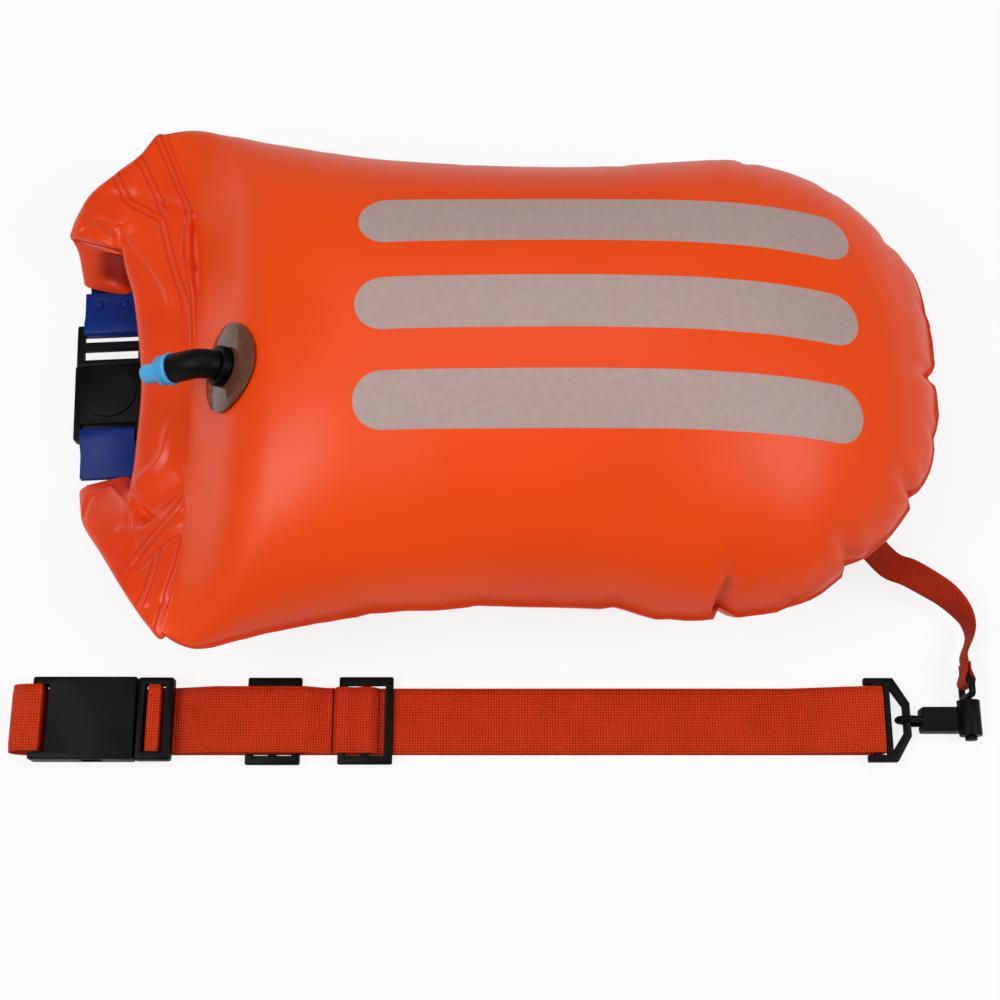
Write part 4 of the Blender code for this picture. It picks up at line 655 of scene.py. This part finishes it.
# Each pleat: depth in mm, where less than 0 is a crest, its half width, and its line in plan
NECK_PLEATS = (
    (1.3, 3.0, ((-243.7, 129.3), (-226.3, 124.8), (-212.9, 121.9), (-202.4, 118.2),
                (-192.4, 114.6), (-183.5, 110.3), (-176.7, 105.9))),
    (-2.6, 5.5, ((-253.1, 107.3), (-241.9, 111.4), (-229.1, 110.6), (-220.6, 104.3),
                 (-215.9, 96.5))),
    (2.2, 3.2, ((-247.1, 109.1), (-235.6, 104.4), (-222.0, 95.3))),
    (1.8, 2.2, ((-221.6, 105.7), (-219.1, 94.4))),
    (-2.0, 2.8, ((-219.7, 105.0), (-208.7, 90.4), (-196.5, 73.6), (-189.0, 60.6), (-185.1, 45.7))),
    (-1.4, 1.6, ((-179.7, 100.9), (-182.5, 87.4), (-180.9, 79.8), (-175.8, 67.5), (-173.1, 53.2))),
    (3.0, 2.6, ((-176.9, 105.8), (-174.8, 87.8), (-173.3, 68.8))),
    (5.0, 8.0, ((-169.3, -49.9), (-182.2, -58.5), (-193.0, -64.7), (-204.3, -67.3))),
    (-2.2, 3.0, ((-207.5, -57.1), (-198.0, -48.3), (-190.9, -43.9), (-185.4, -35.7),
                 (-183.1, -16.3))),
    (2.6, 2.4, ((-207.0, -50.1), (-204.4, -60.4), (-199.0, -69.3), (-189.9, -72.7))),
    (-1.5, 3.0, ((-216.0, -74.0), (-204.0, -78.0), (-195.0, -78.3), (-186.1, -74.2))),
    (2.2, 2.6, ((-165.3, -82.4), (-173.5, -84.5), (-183.3, -88.5), (-189.4, -92.4),
                (-202.0, -102.9))),
    (1.1, 2.0, ((-193.0, -126.0), (-184.1, -123.4), (-176.2, -121.6))),
    (1.6, 1.8, ((-173.1, -71.2), (-166.0, -83.5))),
    (-1.2, 2.0, ((-226.6, -39.9), (-216.8, -51.1), (-205.4, -64.6))),
    (1.0, 1.8, ((-235.4, -46.5), (-237.2, -55.8), (-237.7, -66.8))),
)
# The inner turn of the roll's far end is a hollow: the film is sunk there and its colour is
# darkened to a deep red as painted shade
NECK_HOLLOW = (3.4, 11.0, ((-224.0, 104.0), (-229.0, 96.0), (-232.0, 86.0)))


def plan_line(points):
    """A smooth line in plan through points given in mm, as an array in metres."""
    return np.array([p[:2] for p in smooth_points([Vector((*p, 0)) / 1000 for p in points], 5)])


def beside(line, places):
    """Each place's distance from a line, and how far along the line its nearest point is."""
    start, run = line[:-1], np.diff(line, axis=0)
    to = places[:, None, :] - start
    t = np.clip((to * run).sum(axis=2) / np.maximum((run * run).sum(axis=1), 1e-12), 0, 1)
    gap = np.linalg.norm(to - t[..., None] * run, axis=2)
    best = gap.argmin(axis=1)
    rows = np.arange(len(places))
    return gap[rows, best], (best + t[rows, best]) / len(run)


def pleat(depth, half, points, places):
    """How far one pleat lowers each place, fading out at the pleat's two ends."""
    gap, share = beside(plan_line(points), places)
    fade = np.clip(np.minimum(share, 1 - share) * 5, 0, 1)
    return depth / 1000 * np.exp(-(gap * 1000 / half) ** 2) * fade * fade * (3 - 2 * fade)


def spread(values):
    """Stations eased into rows, as an array."""
    return np.array(smooth_points([Vector(v) / 1000 for v in values], NECK_STEPS))


outer_edge = spread([a for a, _, _ in NECK_STATIONS])
inner_edge = spread([b for _, b, _ in NECK_STATIONS])
neck_thick = spread([(t, 0, 0) for _, _, t in NECK_STATIONS])[:, 0]
# Places across the neck's upper face and its back
across_top = 108
across_back = 14
# Each weld line is double: two pressed grooves this far to each side of its middle, in mm
GROOVE_AWAY = 1.9
GROOVE_DEPTH = 0.00055
half = (outer_edge - inner_edge) / 2
middle = (outer_edge + inner_edge) / 2
up = np.cross(half, np.gradient(middle, axis=0))
up /= np.linalg.norm(up, axis=1, keepdims=True)


def neck_layer(shares, side):
    """One face of the rolled neck: rows of places across it, rounded off at both edges."""
    full = np.maximum(0, 1 - np.abs(2 * shares - 1) ** 4.5) ** 0.5
    flat = middle[:, None] + half[:, None] * (1 - 2 * shares)[None, :, None]
    return flat + side * up[:, None] * (neck_thick[:, None, None] / 2 * full[None, :, None]), full


top_shares = np.linspace(0, 1, across_top)
top, full = neck_layer(top_shares, 1)
back, _ = neck_layer(np.linspace(1, 0, across_back + 2)[1:-1], -1)
places = top[..., :2].reshape(-1, 2)
sunk = sum(pleat(*fold, places) for fold in NECK_PLEATS)
weld_mark = np.zeros(len(places))
for points in NECK_WELDS:
    gap, share = beside(plan_line(points), places)
    gap = gap * 1000
    fade = np.clip((1 - share) * 9, 0, 1)
    groove = np.exp(-((gap - GROOVE_AWAY) / 0.65) ** 2) - 0.6 * np.exp(-(gap / 0.9) ** 2)
    sunk += fade * GROOVE_DEPTH * groove
    weld_mark = np.maximum(weld_mark, fade * np.exp(-((gap - GROOVE_AWAY) / 0.7) ** 2))
row = np.repeat(np.arange(len(top)), across_top)
outside = np.clip((NECK_TIP * NECK_STEPS - row) / 6, 0, 1)
hollow = pleat(*NECK_HOLLOW, places) * np.clip((row - (NECK_TIP + 1) * NECK_STEPS) / 10, 0, 1)
sunk = sunk * outside + hollow
weld_mark *= outside
soft = np.tile(np.minimum(1, full * 1.6), len(top))
top = top - up[:, None] * (sunk * soft).reshape(len(top), across_top, 1)
marks = np.zeros((len(top), across_top + across_back, 2))
marks[:, :across_top, 0] = weld_mark.reshape(len(top), -1)
# The second mark is the painted shade of the roll's hollow
marks[:, :across_top, 1] = (hollow * 1000 / NECK_HOLLOW[0]).reshape(len(top), -1)
bm = bmesh.new()
weld_layer = bm.verts.layers.float.new("weld_mark")
painted_shade_layer = bm.verts.layers.float.new("hollow_painted_shade")
rings = []
for places, shades in zip(np.concatenate((top, back), axis=1), marks):
    ring = [bm.verts.new(p) for p in places]
    for vert, shade in zip(ring, shades):
        vert[weld_layer], vert[painted_shade_layer] = shade
    rings.append(ring)
walls(bm, rings)
for ring in (rings[0], rings[-1]):
    bm.faces.new(ring)
film = Finish("folded_film", Roughness=0.3, Specular_IOR_Level=0.28)
spot = film.place()
cloud = film.noise(spot, 16.0, 2.0)
fine = film.noise(spot, 240.0, 3.0)
marked = film.node("ShaderNodeAttribute", {}, "Fac", attribute_name="weld_mark")
sheet_colour = film.mix(cloud.step(0.3, 0.7), (0.70, 0.040, 0.0012, 1), (0.78, 0.054, 0.0014, 1))
sheet_colour = film.mix(marked * 0.7, sheet_colour, (0.50, 0.020, 0.0008, 1))
# Painted shade: in the roll's hollow the film's colour goes to a dark red
painted_hollow_shade = film.node("ShaderNodeAttribute", {}, "Fac", attribute_name="hollow_painted_shade")
film.set("Base Color", film.mix(painted_hollow_shade.step(0.1, 0.8), sheet_colour, (0.34, 0.010, 0.0006, 1)))
film.set("Roughness", fine * 0.10 + 0.26)
film.bump(fine, 0.0002, 0.3)
rolled_neck = as_piece(bm, "rolled_neck", film)
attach(rolled_neck, "buoy")
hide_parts("rolled_mouth")

# The closure strip, its tabs and rivets: flat blue plastic strip in the roll, joined by two
# folded tabs to the buckle's bars; two blind rivets hold the tab of the buckle's plug.
blue = Finish("closure_strip_blue", Roughness=0.45, Specular_IOR_Level=0.16)
spot = blue.place()
rub = blue.noise(spot, 45.0, 4.0)
grain = blue.noise(spot, 620.0, 2.0)
blue.colour(rub.step(0.25, 0.8), (0.0015, 0.018, 0.15), (0.002, 0.024, 0.20))
blue.set("Roughness", grain * 0.2 + 0.32)
blue.bump(grain + rub * 0.6, 0.0002, 0.4)

# A moulding's faces closer in angle than the first are one flat; past the second is an edge
FLAT_ANGLE = math.radians(1.5)
EDGE_ANGLE = math.radians(40.0)


def refined(node, finish, edge, name=None):
    """A CAD node's own shape with its flats joined, its edges broken and its curves smooth."""
    source = frame["nodes"][node]
    bm = bmesh.new()
    bm.from_mesh(source.data)
    bmesh.ops.remove_doubles(bm, verts=bm.verts, dist=0.000004)
    bmesh.ops.dissolve_limit(bm, angle_limit=FLAT_ANGLE, verts=bm.verts, edges=bm.edges)
    mesh = bpy.data.meshes.new(name or node + "_finished")
    bm.to_mesh(mesh)
    bm.free()
    made = bpy.data.objects.new(mesh.name, mesh)
    stage.collection.objects.link(made)
    mesh.materials.clear()
    mesh.materials.append(finish.material)
    if edge:
        round_over = made.modifiers.new("edge", "BEVEL")
        round_over.width = edge
        round_over.segments = 2
        round_over.limit_method = "ANGLE"
        round_over.angle_limit = EDGE_ANGLE
        round_over.use_clamp_overlap = True
        graph = bpy.context.evaluated_depsgraph_get()
        done = bpy.data.meshes.new_from_object(made.evaluated_get(graph), depsgraph=graph)
        made.modifiers.clear()
        made.data = done
        mesh = done
    mesh.shade_smooth()
    mesh.set_sharp_from_angle(angle=EDGE_ANGLE)
    body = source["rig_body"]
    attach(made, body)
    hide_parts(node)
    return made


# The strip runs inside the neck and comes out at its two ends to meet the tabs
STRIP_ENDS = (Vector((-0.2295, -0.0342, 0.0242)), Vector((-0.2342, 0.0710, 0.0242)))
STRIP_HALF = 0.0128
STRIP_THICK = 0.0016
# The most of the neck's own width that the strip takes
STRIP_SHARE = 0.84
strip_line = middle - up * (neck_thick * 0.25)[:, None]
strip_line = [Vector(p) for p in strip_line[::4]] + [Vector(strip_line[-1])]
strip_sides = [Vector(p) for p in half[::4]] + [Vector(half[-1])]
strip_line = [STRIP_ENDS[0]] + strip_line + [STRIP_ENDS[1]]
strip_sides = [strip_sides[0]] + strip_sides + [strip_sides[-1]]
strip_sides = [side * min(STRIP_SHARE, STRIP_HALF / side.length) for side in strip_sides]
strip = tape("closure_strip_finished", strip_line, strip_sides, STRIP_THICK, blue)
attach(strip, "buoy")
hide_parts("closure_strip")
for node in ("plug_tab", "socket_tab", "tab_rivet_inner", "tab_rivet_outer"):
    refined(node, blue, 0.00025)

# The black mouldings: acetal buckles, tri-glides, belt ring, snap hook with its swivel eye, dee,
# and the valve's base and elbow. They come from the tool with a fine spark texture and broken
# edges, and each is held by the webbing, tab or moulding that it sits on.
black = Finish("moulded_black", Roughness=0.40, Specular_IOR_Level=0.10)
spot = black.place()
spark = black.noise(spot, 1500.0, 2.0)
scuff = black.noise(spot, 70.0, 5.0)
black.colour(scuff.step(0.4, 0.9), (0.0016, 0.0018, 0.0021), (0.0036, 0.0038, 0.0042))
black.set("Roughness", scuff * 0.18 + spark * 0.10 + 0.30)
black.bump(spark, 0.00012, 0.35)
for node in ("roll_plug", "roll_socket", "roll_prong_far", "roll_prong_near", "belt_plug",
             "belt_socket", "belt_prong_far", "belt_prong_near", "upper_glide", "lower_glide",
             "belt_ring", "hook_body", "hook_gate", "swivel_eye", "dee_ring", "valve_base",
             "valve_elbow"):
    refined(node, black, 0.0003)

# The oral valve: a smoky clear vinyl disc welded to the bag carries the elbow; a pale blue
# locking collar and mouthpiece close it, over a small steel spring and check poppet.
smoke = Finish("smoky_vinyl", Roughness=0.14, Coat_Weight=0.1, Coat_Roughness=0.08,
               Specular_IOR_Level=0.35)
spot = smoke.place()
ripple = smoke.noise(spot, 120.0, 3.0)
smoke.colour(ripple.step(0.3, 0.7), (0.095, 0.032, 0.018), (0.125, 0.044, 0.024))
smoke.set("Roughness", ripple * 0.12 + 0.07)
smoke.bump(ripple, 0.0006, 0.5)
refined("valve_disc", smoke, 0.0002)
pale = Finish("mouthpiece_blue", Roughness=0.42, Specular_IOR_Level=0.3)
spot = pale.place()
grain = pale.noise(spot, 700.0, 2.0)
tint = pale.noise(spot, 90.0, 2.0)
pale.colour(tint, (0.060, 0.34, 0.64), (0.085, 0.41, 0.74))
pale.set("Roughness", grain * 0.18 + 0.3)
pale.bump(grain, 0.00015, 0.4)
refined("mouthpiece", pale, 0.0002)


class Growth:
    """A tree that repeats one small moulded or sewn shape, with its sizes as named inputs."""

    def __init__(self, name, **sizes):
        self.name = name
        self.tree = bpy.data.node_groups.new(name, "GeometryNodeTree")
        face = self.tree.interface
        face.new_socket("Geometry", in_out="INPUT", socket_type="NodeSocketGeometry")
        self.sizes = []
        kinds = {tuple: "NodeSocketVector", int: "NodeSocketInt", float: "NodeSocketFloat"}
        for key, value in sizes.items():
            made = face.new_socket(
                key.replace("_", " "), in_out="INPUT", socket_type=kinds[type(value)])
            self.sizes.append((made.identifier, value))
        face.new_socket("Geometry", in_out="OUTPUT", socket_type="NodeSocketGeometry")
        self.entry = self.tree.nodes.new("NodeGroupInput")

    def node(self, kind, inputs, output=0, **settings):
        """A node of one kind with its settings and inputs, as one of its outputs."""
        made = self.tree.nodes.new(kind)
        for key, value in settings.items():
            setattr(made, key, value)
        for key, value in inputs.items():
            if isinstance(value, str):
                value = self.entry.outputs[value]
            if isinstance(value, bpy.types.NodeSocket):
                self.tree.links.new(value, made.inputs[key])
            else:
                made.inputs[key].default_value = value
        return made.outputs[output]

    def grow(self, copies, finish, places, name):
        """The copies as one plain mesh, set down at each place."""
        real = self.node("GeometryNodeRealizeInstances", {0: copies})
        painted = self.node(
            "GeometryNodeSetMaterial", {"Geometry": real, "Material": finish.material})
        self.tree.links.new(painted, self.tree.nodes.new("NodeGroupOutput").inputs[0])
        bm = bmesh.new()
        for place in places:
            made = bpy.data.objects.new(name, bpy.data.meshes.new(name))
            stage.collection.objects.link(made)
            modifier = made.modifiers.new(self.name, "NODES")
            modifier.node_group = self.tree
            for identifier, value in self.sizes:
                modifier[identifier] = value
            graph = bpy.context.evaluated_depsgraph_get()
            done = bpy.data.meshes.new_from_object(made.evaluated_get(graph), depsgraph=graph)
            done.transform(place)
            bm.from_mesh(done)
            made.modifiers.clear()
            bpy.data.objects.remove(made)
        mesh = bpy.data.meshes.new(name)
        bm.to_mesh(mesh)
        bm.free()
        mesh.materials.append(finish.material)
        mesh.shade_smooth()
        mesh.set_sharp_from_angle(angle=math.radians(35))
        made = bpy.data.objects.new(name, mesh)
        stage.collection.objects.link(made)
        return made


def standing(origin, axis, along=0.0):
    """The place of a round piece whose Z runs along an axis, some way along it."""
    axis = Vector(axis).normalized()
    turn = axis.to_track_quat("Z", "Y").to_matrix().to_4x4()
    return Matrix.Translation(Vector(origin) + axis * along) @ turn


def rib_ring(name, finish, count, radius, rib, place):
    """Moulded ribs standing in a ring round an axis."""
    ring = Growth(name, Ribs=count, Radius=radius, Rib_Size=rib)
    spots = ring.node("GeometryNodeMeshCircle", {"Vertices": "Ribs", "Radius": "Radius"})
    block = ring.node("GeometryNodeMeshCube", {"Size": "Rib Size"})
    outward = ring.node("GeometryNodeInputPosition", {})
    turn = ring.node("FunctionNodeAlignRotationToVector", {"Vector": outward}, axis="X")
    copies = ring.node(
        "GeometryNodeInstanceOnPoints", {"Points": spots, "Instance": block, "Rotation": turn})
    return ring.grow(copies, finish, [place], name)


COLLAR_AT = (-0.17255, -0.00775, 0.12954)
COLLAR_AXIS = (-0.89499, -0.009, -0.446)
# Across and along the collar in mm: flared rim, cone and rounded front, then its bore
COLLAR_LATHE = (
    (7.0, 0.35), (8.5, 0.35), (8.8, 0.7), (8.8, 1.9), (8.5, 2.3), (7.9, 2.6), (7.55, 7.3),
    (7.3, 8.0), (6.8, 8.4), (6.1, 8.5), (6.05, 7.35), (7.0, 7.0),
)
bm = bmesh.new()
lathe = standing(COLLAR_AT, COLLAR_AXIS)
COLLAR_TURNS = 72
rings = []
for t in range(COLLAR_TURNS):
    angle = t * math.tau / COLLAR_TURNS
    rings.append([
        bm.verts.new(lathe @ (Vector((r * math.cos(angle), r * math.sin(angle), s)) / 1000))
        for r, s in COLLAR_LATHE])
walls(bm, rings + rings[:1])
locking_collar = as_piece(bm, "locking_collar", pale)
locking_collar.data.set_sharp_from_angle(angle=math.radians(50))
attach(locking_collar, "collar")
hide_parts("lock_collar")
grip = rib_ring("collar_ribs", pale, 44, 0.00765, (0.0009, 0.0005, 0.0046),
                standing(COLLAR_AT, COLLAR_AXIS, 0.0049))
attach(grip, "collar")
BASE_AT = (-0.14368, -0.0073, 0.12911)
BASE_AXIS = (-0.8138, -0.019, 0.5809)
knurl = rib_ring("base_knurls", black, 64, 0.0105, (0.0007, 0.0005, 0.0036),
                 standing(BASE_AT, BASE_AXIS, 0.00495))
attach(knurl, "buoy")
steel = Finish("spring_steel", Base_Color=(0.6, 0.6, 0.62, 1), Metallic=1.0)
drawn = steel.noise(steel.place(), 1200.0, 2.0)
steel.set("Roughness", drawn * 0.25 + 0.2)
for node in ("check_poppet", "valve_spring"):
    refined(node, steel, 0.0)

# The waist belt: 38 mm polypropylene webbing, plain-woven in small squares. It turns round the
# plug's bar, lies double under the glides, goes round the ring's bar and comes back below.
BELT_Y = -0.1725
BELT_HALF = 0.019
# The webbing's middle line in X and Z, in mm
BELT_PROFILE = (
    (-95.3, 4.3), (-99.5, 4.3), (-111.2, 9.9), (-161.8, 9.9), (-184.5, 4.3), (-190.7, 4.3),
    (-191.7, 4.3), (-192.1, 4.4), (-192.5, 4.8), (-192.7, 5.3), (-192.7, 14.0), (-192.8, 14.5),
    (-193.1, 14.9), (-193.7, 15.0), (-198.1, 15.0), (-198.7, 14.9), (-199.0, 14.5),
    (-199.1, 14.0), (-199.1, 3.6), (-199.0, 3.1), (-198.7, 2.7), (-198.1, 2.6), (-184.5, 2.6),
    (-161.5, 8.2), (-111.5, 8.2), (-99.5, 2.6), (165.5, 2.6), (210.5, 10.4), (216.7, 10.4),
    (217.2, 10.3), (217.6, 9.9), (217.7, 9.4), (217.7, 6.0), (217.3, 4.0), (216.2, 2.4),
    (214.6, 1.3), (212.6, 0.9), (165.5, 0.9), (-206.0, 0.9),
)
belt_weave = woven("belt_weave", (0.66, 0.040, 0.0010), (0.36, 0.014, 0.0006),
                   0.0016, 0.0016, 0.038)


def flat_tape(name, profile, origin, half, finish, node, body, gap=0.0022, waves=0.0):
    """Webbing along a profile in X and Z, level across the belt."""
    line = even_points([Vector(origin) + Vector((a / 1000, 0, b / 1000)) for a, b in profile], gap)
    made = tape(name, line, [Vector((0, half, 0))] * len(line), TAPE_THICK, finish, waves)
    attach(made, body)
    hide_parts(node)
    return made


flat_tape("belt_strap", BELT_PROFILE, (0, BELT_Y, 0), BELT_HALF, belt_weave, "belt_webbing",
          "buoy", waves=0.00012)
LOOP_PROFILE = (
    (-0.3, -8.9), (-63.2, -8.9), (-66.2, -8.4), (-68.7, -6.7), (-70.4, -4.1), (-71.0, -1.2),
    (-70.4, 1.8), (-68.7, 4.4), (-66.2, 6.1), (-63.2, 6.6), (-60.0, 7.2), (-54.5, 7.2),
    (-54.0, 7.1), (-53.6, 6.8), (-53.5, 6.3), (-53.5, -6.3), (-53.6, -6.8), (-54.0, -7.1),
    (-54.5, -7.2), (-63.5, -7.2),
)
flat_tape("socket_strap_end", LOOP_PROFILE, (-0.206, BELT_Y, 0.00985), BELT_HALF, belt_weave,
          "belt_socket_loop", "belt_socket_body", gap=0.0014)
GLIDE_PROFILE = (
    (-18.5, -1.1), (-17.5, -1.1), (-16.5, 1.8), (-15.5, 2.8), (-11.0, 2.8), (-6.6, 1.0),
    (-2.2, 2.8), (2.2, 2.8), (3.8, 1.8), (6.6, -1.1),
)
for name, origin in (("upper_glide", (-0.0765, BELT_Y, 0.0054)),
                     ("lower_glide", (-0.129, BELT_Y, 0.0037))):
    flat_tape(name + "_strap", GLIDE_PROFILE, origin, BELT_HALF, belt_weave,
              name + "_webbing", name + "_body", gap=0.0009)

# The sewn tape ends: the tether's two loops, round the swivel eye and round the dee, each shut
# by two rows of lock stitches, and the short lug that ties the dee to its round welded patch
# under the bag.
EYE_LOOP = (
    (-1.0, 31.3), (-1.0, 26.8), (-2.6, 22.3), (-3.0, 20.8), (-2.6, 19.3), (-1.5, 18.2),
    (0.0, 17.8), (1.5, 18.2), (2.6, 19.3), (3.0, 20.8), (2.6, 22.3), (1.0, 26.8), (1.0, 31.3),
)
eye = Vector((0.2655, BELT_Y, 0.0126))
LOOP_GAP = 0.0012
line = even_points([eye + Vector((a / 1000, b / 1000, 0)) for a, b in EYE_LOOP], LOOP_GAP)
piece = tape("tether_end_eye", line, [Vector((0, 0, TETHER_HALF))] * len(line), TAPE_THICK,
             tether_weave)
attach(piece, "hook_swivel")
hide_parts("tether_eye_loop")
# The dee's place under the bag, and its own three axes
dee = Vector((0.18312, -0.05417, 0.02499))
dee_x = Vector((0.64812, -0.57257, 0.5021))
dee_y = Vector((-0.6116, -0.7842, -0.10479))
dee_z = Vector((0.45374, -0.23917, -0.85844))
DEE_LOOP = (
    (22.5, -1.0), (17.4, -1.0), (13.3, -2.3), (12.0, -2.7), (10.6, -2.3), (9.7, -1.4),
    (9.3, 0.0), (9.7, 1.4), (10.6, 2.3), (12.0, 2.7), (13.3, 2.3), (17.4, 1.0), (22.5, 1.0),
)
LUG_LINE = (
    (-14.0, -3.8), (-5.4, -3.8), (-2.2, -1.5), (-2.7, 0.1), (-2.0, 1.8), (-0.5, 2.7),
    (1.2, 2.4), (2.5, 1.1), (2.6, -0.6), (1.7, -2.1), (0.0, -2.7),
)
for name, profile, node, body in (
        ("tether_end_dee", DEE_LOOP, "tether_dee_loop", "anchor_dee"),
        ("dee_lug", LUG_LINE, "anchor_lug", "buoy")):
    line = even_points([dee + dee_x * a / 1000 + dee_z * b / 1000 for a, b in profile], LOOP_GAP)
    piece = tape(name, line, [dee_y * TETHER_HALF] * len(line), TAPE_THICK, tether_weave)
    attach(piece, body)
    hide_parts(node)


# How far a stitch's middle stands from the middle of the doubled tape
STITCH_STAND = 0.00178


def stitches(name, body, rows):
    """Rows of lock stitches across a tape: each row has its middle, run and face direction."""
    row = Growth(name, Stitches=7, First=(-0.006, 0.0, 0.0), Step=(0.002, 0.0, 0.0),
                 Stitch_Size=(0.0016, 0.0005, 0.0004))
    spots = row.node("GeometryNodeMeshLine",
                     {"Count": "Stitches", "Start Location": "First", "Offset": "Step"},
                     mode="OFFSET")
    thread = row.node("GeometryNodeMeshIcoSphere", {"Radius": 0.5, "Subdivisions": 2})
    copies = row.node("GeometryNodeInstanceOnPoints",
                      {"Points": spots, "Instance": thread, "Scale": "Stitch Size"})
    places = []
    for middle_at, run, face in rows:
        across = face.cross(run).normalized()
        turn = Matrix((run.normalized(), across, face.normalized())).transposed().to_4x4()
        places.append(Matrix.Translation(middle_at) @ turn)
    made = row.grow(copies, thread_finish, places, name)
    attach(made, body)


thread_finish = Finish("sewing_thread", Roughness=0.7, Specular_IOR_Level=0.2)
twist = thread_finish.noise(thread_finish.place(), 1600.0, 2.0)
thread_finish.colour(twist, (0.42, 0.018, 0.001), (0.60, 0.035, 0.0015))
thread_finish.bump(twist, 0.0001, 0.5)
stitches("eye_stitches", "hook_swivel", [
    (eye + Vector((face * STITCH_STAND, along / 1000, 0)), Vector((0, 0, 1)),
     Vector((face, 0, 0)))
    for face in (-1, 1) for along in (27.6, 29.8)])
stitches("dee_stitches", "anchor_dee", [
    (dee + dee_x * along / 1000 + dee_z * face * STITCH_STAND, dee_y, dee_z * face)
    for face in (-1, 1) for along in (18.6, 21.2)])
patch = refined("anchor_patch", coated, 0.0002, name="dee_patch")
